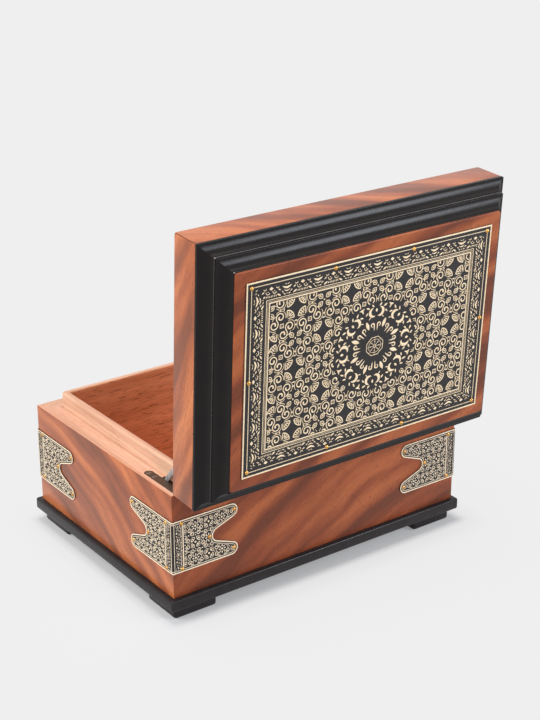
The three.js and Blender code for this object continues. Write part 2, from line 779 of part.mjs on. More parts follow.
// The slotted cover of the humidifier, a clearance smaller than the tray all round.
function grille(length, width, bottom) {
  const halfLength = length / 2 - gap;
  const halfWidth = width / 2 - gap;
  const corner = humidifierCorner - humidifierWall;
  const plate = new THREE.Shape();
  plate.absarc(halfLength - corner, halfWidth - corner, corner, 0, Math.PI / 2);
  plate.absarc(corner - halfLength, halfWidth - corner, corner, Math.PI / 2, Math.PI);
  plate.absarc(corner - halfLength, corner - halfWidth, corner, Math.PI, 1.5 * Math.PI);
  plate.absarc(halfLength - corner, corner - halfWidth, corner, 1.5 * Math.PI, 2 * Math.PI);
  const slots = Math.floor((2 * halfLength - slotPitch) / slotPitch);
  const slotEnd = (Math.min(slotLength, width - slotPitch) - slotWidth) / 2;
  for (let i = 0; i < slots; i++) {
    const x = (i - (slots - 1) / 2) * slotPitch;
    const slot = new THREE.Path();
    slot.absarc(x, slotEnd, slotWidth / 2, 0, Math.PI, false);
    slot.absarc(x, -slotEnd, slotWidth / 2, Math.PI, 2 * Math.PI, false);
    plate.holes.push(slot);
  }
  const options = { depth: grilleThickness, bevelEnabled: false, curveSegments: 3 };
  return new THREE.ExtrudeGeometry(plate, options).translate(0, 0, bottom);
}

// Puts the origin under the middle of the whole open box.
function centreOnBase() {
  const extent = new THREE.Box3().setFromObject(humidor, true);
  const middle = extent.getCenter(new THREE.Vector3());
  humidor.position.set(-middle.x, -middle.y, -extent.min.z);
}

const humidor = new THREE.Group();
const lid = groupAt(humidor, 0, pivotY, pivotZ);
lid.rotation.x = -openAngle;

makeChest();
makeLining();
makePlinth();
makeBrackets();
makeLid();
makeMoulding();
makeHinges();
makeHygrometer();
makeHumidifier();
centreOnBase();

export default humidor;
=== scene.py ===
"""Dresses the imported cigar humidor: veneer, cedar, black lacquer, hinges and raised ornament.

Shapes are drawn in millimetres, in a frame of the chest or of the lid, and placed in metres.
"""

import json
from itertools import product
from math import acos, atan2, cos, degrees, pi, radians, sin, sqrt

import bmesh
import bpy
import numpy as np
from mathutils import Matrix, Quaternion, Vector

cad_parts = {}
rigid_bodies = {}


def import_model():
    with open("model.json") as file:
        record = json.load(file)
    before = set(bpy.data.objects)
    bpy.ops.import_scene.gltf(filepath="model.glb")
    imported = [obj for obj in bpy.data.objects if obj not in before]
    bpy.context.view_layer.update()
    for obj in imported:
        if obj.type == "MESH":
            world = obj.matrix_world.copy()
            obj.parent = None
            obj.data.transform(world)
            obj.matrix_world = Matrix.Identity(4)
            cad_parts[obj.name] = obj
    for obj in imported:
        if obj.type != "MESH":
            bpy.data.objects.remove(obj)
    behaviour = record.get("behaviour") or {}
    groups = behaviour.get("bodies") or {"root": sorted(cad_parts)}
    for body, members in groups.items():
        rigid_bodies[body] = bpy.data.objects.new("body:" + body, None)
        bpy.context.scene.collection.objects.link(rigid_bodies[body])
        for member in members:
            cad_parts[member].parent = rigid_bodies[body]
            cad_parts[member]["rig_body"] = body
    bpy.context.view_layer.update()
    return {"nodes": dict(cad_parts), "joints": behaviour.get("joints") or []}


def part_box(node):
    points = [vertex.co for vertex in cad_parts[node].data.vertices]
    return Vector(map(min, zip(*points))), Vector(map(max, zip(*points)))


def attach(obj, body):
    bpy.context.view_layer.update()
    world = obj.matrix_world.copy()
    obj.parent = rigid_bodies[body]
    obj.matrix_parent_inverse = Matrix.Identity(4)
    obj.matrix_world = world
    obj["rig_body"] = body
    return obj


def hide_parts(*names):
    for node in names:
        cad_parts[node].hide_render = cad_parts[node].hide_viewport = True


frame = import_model()

MM = 0.001
hinge = next(joint for joint in frame["joints"] if joint["name"] == "lid_hinge")
open_angle = radians(max(hinge["range_deg"]))

# Sizes in millimetres. LINING is thinner than in the CAD model, as in the photograph.
HALF_X, HALF_Y = 150, 109.75
WALL, LID_WALL = 16.4, 15.8
CHEST_BOTTOM, RIM, LIP_TOP = 21.1, 113.5, 128.4
LINING_FOOT, LINING = 29.1, 5.6
PLINTH_OVERHANG = 4.5
FOOT_HEIGHT, FOOT_HALF, FOOT_INSET = 11, 20.75, 1.4
PIVOT_BEHIND, LEAF_FACE = 1.5, 0.15
LID_TOP, MOULDING_HEIGHT = 27.85, 21.4
PANEL_INSET, PANEL_TOP = 19.6, 50.55
PLATE_INSET, PLATE_TOP = 29.2, 51.65
RELIEF = 0.22

back_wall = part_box("wall_back")[1].y
middle_of_box = Vector((0, back_wall - HALF_Y * MM, 0))
CHEST = Matrix.Translation(middle_of_box) @ Matrix.Scale(MM, 4)
LID = (
    Matrix.Translation(hinge["pos_m"])
    @ Matrix.Rotation(-open_angle, 4, "X")
    @ Matrix.Translation((0, -(HALF_Y + PIVOT_BEHIND) * MM, 0))
    @ Matrix.Scale(MM, 4)
)
PLACES = {"chest": CHEST, "lid": LID}
X, Y, Z = Vector((1, 0, 0)), Vector((0, 1, 0)), Vector((0, 0, 1))
LID_Y, LID_Z = ((LID.to_3x3() @ way).normalized() for way in (Y, Z))


# Materials

class Nodes:
    """Helpers that grow a node tree; most give an output socket."""

    def __init__(self, tree):
        self.tree = tree

    def put(self, node, inputs):
        """Sets a node's inputs to values, or links sockets to them."""
        for key, value in inputs.items():
            if isinstance(value, bpy.types.NodeSocket):
                self.tree.links.new(value, node.inputs[key])
            else:
                node.inputs[key].default_value = value

    def add(self, kind, inputs, output=0, **settings):
        node = self.tree.nodes.new("ShaderNode" + kind)
        for key, value in settings.items():
            setattr(node, key, value)
        self.put(node, inputs)
        return node.outputs[output]

    def math(self, operation, a, b):
        return self.add("Math", {0: a, 1: b}, operation=operation)

    def vectors(self, operation, a, b):
        return self.add("VectorMath", {0: a, 1: b}, operation=operation)

    def scaled(self, vector, factor):
        return self.add("VectorMath", {0: vector, 3: factor}, operation="SCALE")

    def dot(self, vector, way):
        return self.add("VectorMath", {0: vector, 1: way}, "Value", operation="DOT_PRODUCT")

    def noise(self, vector, scale=1, detail=2, roughness=0.5):
        inputs = {"Vector": vector, "Scale": scale, "Detail": detail, "Roughness": roughness}
        return self.add("TexNoise", inputs)

    def streaks(self, across, along, seed, detail=2, roughness=0.5):
        """Noise drawn out one way; across and along are each a socket and its scale."""
        x, y = self.math("MULTIPLY", *across), self.math("MULTIPLY", *along)
        return self.noise(self.add("CombineXYZ", {0: x, 1: y, 2: seed}), 1, detail, roughness)

    def ramp(self, factor, *stops):
        colours = self.add("ValToRGB", {0: factor})
        elements = colours.node.color_ramp.elements
        for element, (position, colour) in zip(elements, (stops[0], stops[-1])):
            element.position, element.color = position, as_rgba(colour)
        for position, colour in stops[1:-1]:
            elements.new(position).color = as_rgba(colour)
        return colours

    def spread(self, factor, low, high):
        return self.add("MapRange", {0: factor, 3: low, 4: high})

    def mix(self, factor, a, b, blend="MIX"):
        inputs = {0: factor, 6: as_rgba(a), 7: as_rgba(b)}
        return self.add("Mix", inputs, 2, data_type="RGBA", blend_type=blend)


class Finish(Nodes):
    """A procedural material with a Principled shader."""

    def __init__(self, name, roughness=0.5, metallic=0, **sockets):
        self.material = bpy.data.materials.new(name)
        self.material.use_nodes = True
        super().__init__(self.material.node_tree)
        self.shader = self.tree.nodes["Principled BSDF"]
        self.place = self.add("TexCoord", {}, "Object")
        self.paint(Roughness=roughness, Metallic=metallic, **sockets)

    def paint(self, **sockets):
        self.put(self.shader, {key.replace("_", " "): value for key, value in sockets.items()})
        return self.material

    def finished(self, colour, height, strength, distance=0.0002, **sockets):
        """Gives the material its colour, and fine bumps from a height."""
        bump = self.add("Bump", {"Height": height, "Strength": strength, "Distance": distance})
        return self.paint(Base_Color=colour, Normal=bump, **sockets)


def as_rgba(colour):
    """A linear colour from 8-bit values or a grey; sockets and linear colours stay as they are."""
    if isinstance(colour, (int, float)):
        return (colour, colour, colour, 1)
    if isinstance(colour, bpy.types.NodeSocket) or len(colour) == 4:
        return colour
    parts = [value / 255 for value in colour]
    return (*(v / 12.92 if v <= 0.04045 else ((v + 0.055) / 1.055) ** 2.4 for v in parts), 1)


def veneer(name, lean, normal, bend, seed, painted_light_and_specks, polish=0.06):
    """Red-brown veneer with broad bands, fine grain and pores; lean is two ways and an angle. The face's
    last colour multiplies the veneer as painted light and shade.
    """
    first, second, angle = lean
    along = (first * cos(radians(angle)) + second * sin(radians(angle))).normalized()
    across = normal.cross(along).normalized()
    grain_way = (along + across * 0.22).normalized()
    grain_side = normal.cross(grain_way)
    f = Finish("veneer_" + name, 0.4, Coat_Weight=polish, Coat_Roughness=0.2, Specular_IOR_Level=0.22)
    s, t, g, h = (f.dot(f.place, way) for way in (across, along, grain_side, grain_way))
    curve = f.math("MULTIPLY", f.math("MULTIPLY", t, t), bend)
    wander = f.math("MULTIPLY", f.noise(f.place, 11), 0.022)
    bent = f.math("ADD", f.math("ADD", s, curve), wander)
    band = f.streaks((bent, 58), (t, 6), seed, 1.2, 0.45)
    cloud = f.streaks((bent, 150), (t, 30), seed)
    tone = f.math("ADD", f.math("MULTIPLY", band, 0.8), f.math("MULTIPLY", cloud, 0.2))
    colour = f.ramp(tone, (0.37, (119, 62, 40)), (0.5, (154, 79, 47)), (0.64, (186, 104, 61)))
    grain = f.streaks((g, 900), (h, 45), seed, 3, 0.6)
    colour = f.mix(0.5, colour, f.ramp(grain, (0.3, 0.62), (0.7, 1.12)), "MULTIPLY")
    pores = f.streaks((g, 1250), (h, 210), seed, 1)
    colour = f.mix(f.ramp(pores, (0.64, 0), (0.72, 0.6)), colour, (74, 34, 24))
    # painted light and shade: the face's multiplier, above 1 where the face is painted paler and below 1
    # where it is painted darker
    colour = f.mix(1, colour, (*painted_light_and_specks, 1), "MULTIPLY")
    return f.finished(colour, grain, 0.05)


def cedar(name, along, pale=True, light=(1, 1, 1)):
    """Planed cedar with grain along the board; what isn't pale is the same cedar painted a deeper
    red-brown, as painted shade inside the box, and light multiplies the colour as painted light.
    """
    f = Finish(name, 0.55 if pale else 0.5, Specular_IOR_Level=0.3)
    t = f.dot(f.place, along)
    rest = f.vectors("SUBTRACT", f.place, f.scaled(along, t))

    def drawn_out(across, lengthways):
        return f.vectors("ADD", f.scaled(rest, across), f.scaled(along, f.math("MULTIPLY", t, lengthways)))

    fibres = drawn_out(420, 14)
    grain = f.noise(fibres, 1, 3, 0.6)
    broad = f.noise(fibres, 0.22)
    pores = f.noise(drawn_out(1300, 95), 1, 1)
    if pale:
        colour = f.ramp(broad, (0.35, (205, 151, 122)), (0.65, (221, 176, 149)))
        colour = f.mix(0.9, colour, f.ramp(grain, (0.32, 0.78), (0.6, 1.06)), "MULTIPLY")
        colour = f.mix(f.ramp(pores, (0.6, 0), (0.72, 0.5)), colour, (184, 112, 84))
    else:
        # painted shade: inside the box the same cedar is painted deeper and redder
        colour = f.ramp(broad, (0.35, (210, 138, 98)), (0.65, (226, 156, 115)))
        colour = f.mix(0.6, colour, f.ramp(grain, (0.32, 0.84), (0.6, 1.04)), "MULTIPLY")
        colour = f.mix(f.ramp(pores, (0.6, 0), (0.69, 0.7)), colour, (112, 56, 36))
    colour = f.mix(1, colour, (*light, 1), "MULTIPLY")
    return f.finished(colour, grain, 0.12, 0.0003)


def lacquer(name, dark, pale):
    """Satin black lacquer, faintly uneven, with a few pale scuffs."""
    f = Finish(name, Specular_IOR_Level=0.22)
    cloud = f.noise(f.place, 60, 3)
    scuffs = f.ramp(f.noise(f.place, 420, 4, 0.7), (0.7, 0), (0.78, 0.35))
    colour = f.mix(scuffs, f.ramp(cloud, (0.35, dark), (0.65, pale)), (58, 54, 53))
    rough = f.spread(f.noise(f.place, 240, 3), 0.22, 0.32)
    return f.finished(colour, cloud, 0.02, 0.0005, Roughness=rough)


def metal(name, dark, pale, roughness, scale=300, metallic=1, brushed=None):
    """Patchy tone and roughness, for metal and for the lacquer painted grey as a highlight on the
    moulding's ledge; brushed is the way of fine scratches.
    """
    f = Finish(name, roughness, metallic)
    p = f.place
    if brushed is not None:
        p = f.vectors("ADD", p, f.scaled(brushed, f.math("MULTIPLY", f.dot(p, brushed), -0.97)))
    patch = f.noise(p, scale, 4, 0.6)
    colour = f.ramp(patch, (0.35, dark), (0.65, pale))
    rough = f.spread(patch, roughness * 0.8, roughness * 1.3)
    return f.finished(colour, patch, 0.04, Roughness=rough)


def ground_metal(name):
    """The dark ground under the raised ornament."""
    f = Finish(name, 0.5, Specular_IOR_Level=0.3)
    patch = f.noise(f.place, 900, 3)
    colour = f.ramp(patch, (0.35, (33, 30, 31)), (0.65, (48, 44, 45)))
    return f.finished(colour, patch, 0.15)


def plastic(name, colour, roughness, grain=1500):
    """An even colour with fine specks, for plastic and card, for the dark brown painted as shade on cut
    faces, and for pale painted highlights.
    """
    f = Finish(name, roughness)
    speck = f.noise(f.place, grain)
    painted_light_and_specks = f.mix(0.25, colour, f.ramp(speck, (0.3, 0.7), (0.7, 1.2)), "MULTIPLY")
    return f.finished(painted_light_and_specks, speck, 0.08, 0.0001)


def foam_block(name):
    f = Finish(name, 0.95)
    cells = f.add("TexVoronoi", {"Vector": f.place, "Scale": 1400})
    colour = f.ramp(cells, (0, (28, 52, 34)), (0.6, (74, 112, 80)))
    return f.finished(colour, cells, 0.6, 0.0004)


def clear_glass(name):
    f = Finish(name, 0.03, Transmission_Weight=1, IOR=1.45)
    rough = f.spread(f.noise(f.place, 80), 0.02, 0.06)
    return f.paint(Roughness=rough, Base_Color=as_rgba((240, 248, 248)))


# Painted light and shade, as linear multipliers of the wood's colour on each face: the ends of the box and
# the lip's outer face are painted paler than its back, and the back, front and panel are painted darker
PLAIN_SHADE, ENDS_LIGHT, LID_ENDS_LIGHT = (0.93, 0.88, 0.86), (1.34, 1.42, 1.35), (1.38, 1.56, 1.54)
LID_FRONT_LIGHT, PANEL_SHADE, LIP_LIGHT = (1, 1.02, 1.02), (0.89, 0.85, 0.84), (1.18, 1.28, 1.3)

veneers = {
    "back": veneer("back", (-X, Z, 28), Y, 1.1, 1, PLAIN_SHADE),
    "front": veneer("front", (X, Z, 28), -Y, 1.1, 9, PLAIN_SHADE),
    "right": veneer("right", (Y, -Z, 38), X, 1.6, 3, ENDS_LIGHT, 0.4),
    "left": veneer("left", (-Y, -Z, 38), -X, 1.6, 6, ENDS_LIGHT, 0.4),
}
lid_veneers = {
    "back": veneer("lid_back", (X, LID_Z, 35), LID_Y, 0, 2, PLAIN_SHADE),
    "front": veneer("lid_front", (-X, LID_Z, 34), -LID_Y, 0, 4, LID_FRONT_LIGHT, 0.4),
    "right": veneer("lid_right", (LID_Z, -LID_Y, 66), X, 0, 5, LID_ENDS_LIGHT, 0.35),
    "left": veneer("lid_left", (LID_Z, -LID_Y, 66), -X, 0, 8, LID_ENDS_LIGHT, 0.35),
}
panel_veneer = veneer("panel", (-X, -LID_Y, 38), LID_Z, 0.8, 12, PANEL_SHADE)

GRAINS = {"x": X, "y": Y, "lid_y": LID_Y}
cedar_pale = {way: cedar(f"cedar_pale_{way}", along) for way, along in GRAINS.items()}
cedar_shaded = {way: cedar(f"cedar_shaded_{way}", along, pale=False) for way, along in GRAINS.items()}
# painted light: the lip's outer face is the same cedar painted paler
cedar_lip = {way: cedar(f"cedar_lip_{way}", GRAINS[way], light=LIP_LIGHT) for way in ("x", "y")}

# painted shade: a dark brown on the faces cut into the walls, so the slots and seats read dark
cut_face_shade = plastic("cut_face_shade", (52, 31, 22), 0.8, 700)
black = lacquer("black_lacquer", (16, 11, 11), (22, 16, 15))
# painted light: the same black lacquer, painted paler on the plinth and feet than on the moulding
plinth_lit_black = lacquer("plinth_lit_lacquer", (35, 31, 32), (42, 38, 39))
# painted highlight: a grey lacquer for the ledge between the moulding's coves
ledge_highlight_black = metal("ledge_highlight_lacquer", (56, 52, 52), (78, 73, 72), 0.4, 500, metallic=0)
# painted highlight: pale specks on the moulding's mitre
mitre_highlight = plastic("mitre_highlight", (206, 198, 190), 0.6)
dark_ground = ground_metal("damascene_ground")
gold_line = metal("damascene_gold", (246, 215, 174), (255, 236, 202), 0.42, 500, metallic=0.12)
bracket_gold = metal("bracket_gold", (255, 226, 190), (255, 242, 216), 0.42, 500, metallic=0.05)
pin_brass = metal("pin_brass", (184, 128, 62), (226, 174, 98), 0.26)
polished_brass = metal("polished_brass", (190, 146, 74), (224, 184, 108), 0.22)
bronze = metal("aged_bronze", (50, 36, 28), (96, 74, 57), 0.46, 800, metallic=0.6)
steel = metal("brushed_steel", (172, 173, 177), (204, 205, 209), 0.4, metallic=0.7, brushed=Z)
dark_steel = metal("screw_steel", (84, 74, 68), (170, 158, 148), 0.36, 900)
needle_black = plastic("needle_black", (30, 30, 32), 0.4)
dial_card = plastic("dial_card", (243, 239, 226), 0.7, 600)
dial_ink = plastic("dial_ink", (34, 32, 32), 0.6)
tray_plastic = plastic("tray_plastic", (30, 30, 32), 0.45)
foam = foam_block("foam")
lens = clear_glass("lens_glass")


# Shapes: each is a pair of vertices and faces, in millimetres

def make_mesh(name, shape, closed=True):
    """A mesh of a shape; a closed one gets its faces turned outwards."""
    vertices, faces = shape
    mesh = bpy.data.meshes.new(name)
    mesh.from_pydata(vertices, [], faces)
    if closed:
        bm = bmesh.new()
        bm.from_mesh(mesh)
        bmesh.ops.remove_doubles(bm, verts=bm.verts, dist=1e-4)
        bmesh.ops.recalc_face_normals(bm, faces=bm.faces)
        bm.to_mesh(mesh)
        bm.free()
    return mesh


def link(name, data):
    made = bpy.data.objects.new(name, data)
    bpy.context.scene.collection.objects.link(made)
    return made


def evaluated(made):
    bpy.context.view_layer.update()
    return made.evaluated_get(bpy.context.evaluated_depsgraph_get())


def settle(name, mesh, body, slot, paints, replaces, sharp=32):
    """Adds a mesh in metres to the scene, as a piece that rides on a body."""
    for paint in paints:
        mesh.materials.append(paint)
    mesh.shade_smooth()
    mesh.set_sharp_from_angle(angle=radians(sharp))
    piece = link(name, mesh)
    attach(piece, body)
    if replaces:
        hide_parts(*replaces)


def add_piece(
    name, shape, body, slot, paints, replaces=(), local=Matrix(), choose=None, closed=True, sharp=32,
):
    """Adds a shape in millimetres. choose(centre, normal) gives a face's index in paints."""
    mesh = make_mesh(name, shape, closed)
    if choose:
        for polygon in mesh.polygons:
            polygon.material_index = choose(polygon.center, polygon.normal)
    place = PLACES[body] @ local
    mesh.transform(place)
    if place.determinant() < 0:
        mesh.flip_normals()
    settle(name, mesh, body, slot, paints, replaces, sharp)


def dressed(node, slot, paint, width, segments=2):
    """A copy of a CAD node with bevelled edges, in the node's place."""
    bm = bmesh.new()
    bm.from_mesh(frame["nodes"][node].data)
    bmesh.ops.remove_doubles(bm, verts=bm.verts, dist=2e-6)
    bmesh.ops.dissolve_limit(bm, angle_limit=radians(1), verts=bm.verts, edges=bm.edges)
    edges = [e for e in bm.edges if len(e.link_faces) == 2 and e.calc_face_angle() > radians(28)]
    bmesh.ops.bevel(
        bm, geom=edges, offset=width * MM, offset_type="OFFSET", segments=segments,
        profile=0.5, affect="EDGES", clamp_overlap=True,
    )
    mesh = bpy.data.meshes.new(node + "_dressed")
    bm.to_mesh(mesh)
    bm.free()
    settle(node + "_dressed", mesh, frame["nodes"][node]["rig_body"], slot, [paint], [node])


def direction(degrees):
    return np.array([cos(radians(degrees)), sin(radians(degrees))])


def arc(cx, cy, radius, start, end, steps, radius_y=None):
    """Points on an arc, its angles in degrees."""
    angles = np.radians(np.linspace(start, end, steps + 1))
    return np.stack([cx + radius * np.cos(angles), cy + (radius_y or radius) * np.sin(angles)], 1)


def softened(points, radii, steps=3):
    """A closed outline with each corner rounded by its own radius."""
    points = [np.array(point, float) for point in points]
    rounded = []
    for i, (point, radius) in enumerate(zip(points, radii)):
        before, after = points[i - 1] - point, points[(i + 1) % len(points)] - point
        start = point + before / np.linalg.norm(before) * radius
        end = point + after / np.linalg.norm(after) * radius
        for u in np.linspace(0, 1, steps + 1) if radius else (0,):
            rounded.append(start * (1 - u) ** 2 + point * 2 * u * (1 - u) + end * u * u)
    return np.array(rounded)


def bend_points(half_x, half_y, radius, quarter, start, end, steps):
    """Points round one bend of a rounded rectangle, its angles in degrees within the bend."""
    sign_x = 1 if quarter % 4 in (0, 3) else -1
    sign_y = 1 if quarter % 4 in (0, 1) else -1
    centre = (sign_x * (half_x - radius), sign_y * (half_y - radius))
    return arc(*centre, radius, quarter * 90 + start, quarter * 90 + end, steps)


def loft(rings, looped=False, capped=True):
    """Skins rings of equally many points; looped joins the last ring to the first."""
    count = len(rings[0])
    faces = []
    for i in range(len(rings) if looped else len(rings) - 1):
        a, b = i * count, ((i + 1) % len(rings)) * count
        for j in range(count):
            k = (j + 1) % count
            faces.append((a + j, a + k, b + k, b + j))
    if capped and not looped:
        faces.append(tuple(range(count))[::-1])
        faces.append(tuple((len(rings) - 1) * count + j for j in range(count)))
    return np.concatenate(rings), faces


def at_height(flat, z):
    return np.column_stack([flat, np.full(len(flat), z)])


def ring_at(half_x, half_y, radius, z, middle=(0, 0)):
    """A rounded rectangle at one height."""
    bends = [bend_points(half_x, half_y, max(radius, 0.05), quarter, 0, 90, 5) for quarter in range(4)]
    return at_height(np.concatenate(bends) + np.array(middle), z)


def board(half_x, half_y, low, high, corner, lower=0, upper=0, middle=(0, 0)):
    """A board with rounded corners in plan and rounded lower and upper edges."""
    rings = []
    for radius, level, way in ((lower, low, 1), (upper, high, -1)):
        edge = []
        for angle in np.linspace(0, pi / 2, 6) if radius else (pi / 2,):
            inset = radius * (1 - sin(angle))
            height = level + way * radius * (1 - cos(angle))
            edge.append(ring_at(half_x - inset, half_y - inset, corner - inset, height, middle))
        rings += edge[::way]
    return loft(rings)


CORNERS = (("front_left", -1, -1), ("front_right", 1, -1), ("back_left", -1, 1), ("back_right", 1, 1))
OUTWARD = {"right": X, "back": Y, "left": -X, "front": -Y}
SIDES = list(OUTWARD)


def frame_length(section, side, corner, trim=0):
    """A mitred length of a frame as large as the box, from (inset, height) points."""
    k = SIDES.index(side)
    run = direction(90 * k + 90)
    columns = []
    for inset, z in section:
        size = (HALF_X - inset, HALF_Y - inset, max(corner - inset, 0.05))
        start, end = bend_points(*size, k + 3, 45, 90, 3), bend_points(*size, k + 4, 0, 45, 3)
        start[0] += run * trim
        end[-1] -= run * trim
        columns.append(at_height(np.concatenate([start, end]), z))
    return loft(list(np.stack(columns, 1)))


def prism(outline, place0, place1):
    """A straight bar between two placings of one outline."""
    return loft([np.array([place(a, b) for a, b in outline]) for place in (place0, place1)])


def lathe(profile, steps=72):
    """A shape turned on Z from (radius, height) points; one that starts off the axis is a ring."""
    angles = np.linspace(0, 2 * pi, steps, endpoint=False)
    circle = np.column_stack([np.cos(angles), np.sin(angles)])
    return loft([at_height(circle * radius, z) for radius, z in profile], looped=profile[0][0] > 0.5)


def carved(shape, cutters):
    """The shape with the cutters taken out of it."""
    whole, *tools = [link("carving", make_mesh("carving", each)) for each in (shape, *cutters)]
    for tool in tools:
        cut = whole.modifiers.new("cut", "BOOLEAN")
        cut.operation, cut.solver, cut.object = "DIFFERENCE", "EXACT", tool
    mesh = evaluated(whole).to_mesh()
    left = [v.co[:] for v in mesh.vertices], [p.vertices[:] for p in mesh.polygons]
    for made in (whole, *tools):
        bpy.data.objects.remove(made)
    return left


# Chest and lid boxes

LEAF_LENGTH, LEAF_WIDTH, LEAF_INSET, LEAF_DEPTH = 51.5, 7.7, 4.5, 1.6
HEAD_WIDTH, HEAD_LENGTH, HEAD_SETBACK = 10.9, 34.5, 6
KNUCKLE_RADIUS, KNUCKLE_ROOM, SEAT_ROOM = 2.1, 0.25, 0.14
MORTISE_INSET, MORTISE_HALF, MORTISE_DEPTH = 13.3, 1.9, 26.5
MORTISE_START, MORTISE_END = 16.2, 32.7


def seat_cutters(hand, level, way):
    """A leaf's bed, the knuckles' room and the strut's mortise, in a rim; way is up out of the wood."""
    half = LEAF_WIDTH / 2
    outer, inner = LEAF_INSET - SEAT_ROOM, LEAF_INSET + LEAF_WIDTH + SEAT_ROOM
    head = LEAF_INSET + HEAD_WIDTH + SEAT_ROOM
    back = HALF_Y + PIVOT_BEHIND
    tip = arc(LEAF_INSET + half, back - (LEAF_LENGTH - half), half + SEAT_ROOM, 180, 360, 10)
    head_start, head_end = back - HEAD_LENGTH - SEAT_ROOM, back - HEAD_SETBACK + SEAT_ROOM
    outline = [
        (outer, back), *tip, (inner, head_start), (head, head_start), (head, head_end), (inner, head_end),
        (inner, back),
    ]

    def at(height):
        return lambda inset, y: (hand * (HALF_X - inset), y, level + way * height)

    bed = prism(outline, at(-(LEAF_DEPTH + 0.3)), at(1))
    circle = arc(back, level + way * LEAF_FACE, KNUCKLE_RADIUS + KNUCKLE_ROOM, 0, 360, 20)[:-1]
    ends = [(lambda y, z, x=hand * (HALF_X - inset): (x, y, z)) for inset in (outer, inner)]
    knuckle = prism(circle, *ends)
    near, far = MORTISE_INSET - MORTISE_HALF, MORTISE_INSET + MORTISE_HALF
    start, end = back - MORTISE_START, back - MORTISE_END
    mortise = prism([(near, end), (far, end), (far, start), (near, start)], at(-MORTISE_DEPTH), at(0.5))
    return [bed, knuckle, mortise]


def wall_paint(wall, low, high):
    """Chooses veneer outside, pale cedar on the rim, the cedar painted deeper inside as shade, and a dark
    brown painted as shade on the faces cut into the wall.
    """
    # deep is the inner faces, the cedar painted darker as shade; cut is the faces cut into the wall,
    # painted dark brown as shade
    rim, deep, cut = 4, 6, 8
    inner_x, inner_y = HALF_X - wall, HALF_Y - wall

    def choose(centre, normal):
        x, y = abs(centre.x), abs(centre.y)
        in_wall = inner_x + 0.5 < x < HALF_X - 0.5 and y < HALF_Y - 0.5
        if in_wall and low + 0.4 < centre.z < high - 0.4:
            return cut
        if abs(normal.z) > 0.75:
            return rim if y / HALF_Y > x / HALF_X else rim + 1
        if x < inner_x + 0.05 and y < inner_y + 0.05:
            return deep if abs(normal.y) > abs(normal.x) else deep + 1
        if abs(normal.x) >= abs(normal.y):
            return SIDES.index("right" if normal.x > 0 else "left")
        return SIDES.index("back" if normal.y > 0 else "front")

    return choose


def make_walls(body, outside, across, wall, low, high, radii, corner, rim, way):
    """A body's four walls as one piece, with the hinges' seats cut into the rim."""
    section = softened([(0, low), (wall, low), (wall, high), (0, high)], radii)
    rings = [ring_at(HALF_X - inset, HALF_Y - inset, corner - inset, z) for inset, z in section]
    cutters = [cutter for hand in (1, -1) for cutter in seat_cutters(hand, rim, way)]
    paints = [outside[side] for side in SIDES]
    paints += [cedar_pale["x"], cedar_pale[across], cedar_shaded["x"], cedar_shaded[across], cut_face_shade]
    prefix = "lid_" if body == "lid" else ""
    add_piece(
        f"{body}_walls", carved(loft(rings, looped=True), cutters), body, "veneer", paints,
        [f"{prefix}wall_{side}" for side in SIDES], choose=wall_paint(wall, low, high),
    )


def make_lining():
    inner = WALL + LINING
    section = softened(
        [(WALL, LINING_FOOT), (inner, LINING_FOOT), (inner, LIP_TOP), (WALL, LIP_TOP)], [0, 0, 2.2, 2.8], 6)
    for side in SIDES:
        way = "x" if side in ("front", "back") else "y"

        # lip faces: 0 its top, 1 its inner face painted darker as shade, 2 its outer face painted paler as
        # light
        def choose(centre, normal, outward=OUTWARD[side]):
            facing = normal.dot(outward)
            return 0 if abs(facing) < 0.8 else 1 if facing < 0 else 2

        add_piece(
            f"lining_{side}_lip", frame_length(section, side, WALL + 2.6, 0.04), "chest", "cedar",
            [cedar_pale[way], cedar_shaded[way], cedar_lip[way]], [f"lining_{side}"], choose=choose,
        )
    # painted shade: the floor inside the box is the cedar painted darker
    dressed("lining_floor", "cedar", cedar_shaded["x"], 0.2)
    dressed("bottom_board", "cedar", cedar_pale["x"], 0.3)


def make_moulding():
    """Two coves, each hollowed above an upright fillet, with soft arrises and a narrow ledge."""
    fillet, ledge, soft, room = 2.3, 0.6, 0.3, 0.3
    cove = (PANEL_INSET - 0.3) / 2 - ledge
    rise = MOULDING_HEIGHT / 2
    inside = PANEL_INSET - 0.02
    section = [(inside, LID_TOP), (0.25, LID_TOP), (0, LID_TOP + 0.25)]
    for i in (0, 1):
        inset = i * (cove + ledge)
        top = LID_TOP + room + (i + 1) * rise
        spring = top - rise + fillet
        section += list(arc(inset + soft, spring - soft, soft, 180, 90, 4))
        section += list(arc(inset, top, cove, -82, -2, 14, rise - fillet))
        section += list(arc(inset + cove + soft, top - soft, soft, 160, 90, 3))
        section.append((inset + cove + ledge, top) if i == 0 else (inside, top))
    first_top = LID_TOP + room + rise
    for side in SIDES:
        # the ledge at the first cove's top is painted grey as a highlight
        add_piece(
            f"moulding_{side}_coves", frame_length(np.array(section), side, 1.3), "lid", "ebonised_wood",
            [black, ledge_highlight_black], [f"moulding_{side}"], sharp=40,
            choose=lambda centre, normal: int(abs(centre.z - first_top) < 0.32),
        )
    # pale specks painted on the mitre as highlights
    for i, (inset, level) in enumerate([(cove + 0.5, first_top), (2 * cove + 1.1, first_top + rise)]):
        mitre_glint = Pattern()
        corner = np.array([HALF_X - inset, inset - HALF_Y])
        mitre_glint.add([corner + (0.5, -0.5), corner, corner + (-1.3, 0.1)], [0.2, 0.75, 0.1])
        shape = mitre_glint.relief(0.05, lambda x, y, h: (x, y, level + h))
        add_piece(f"moulding_highlight_{i + 1}", shape, "lid", "ebonised_wood", [mitre_highlight], closed=False)


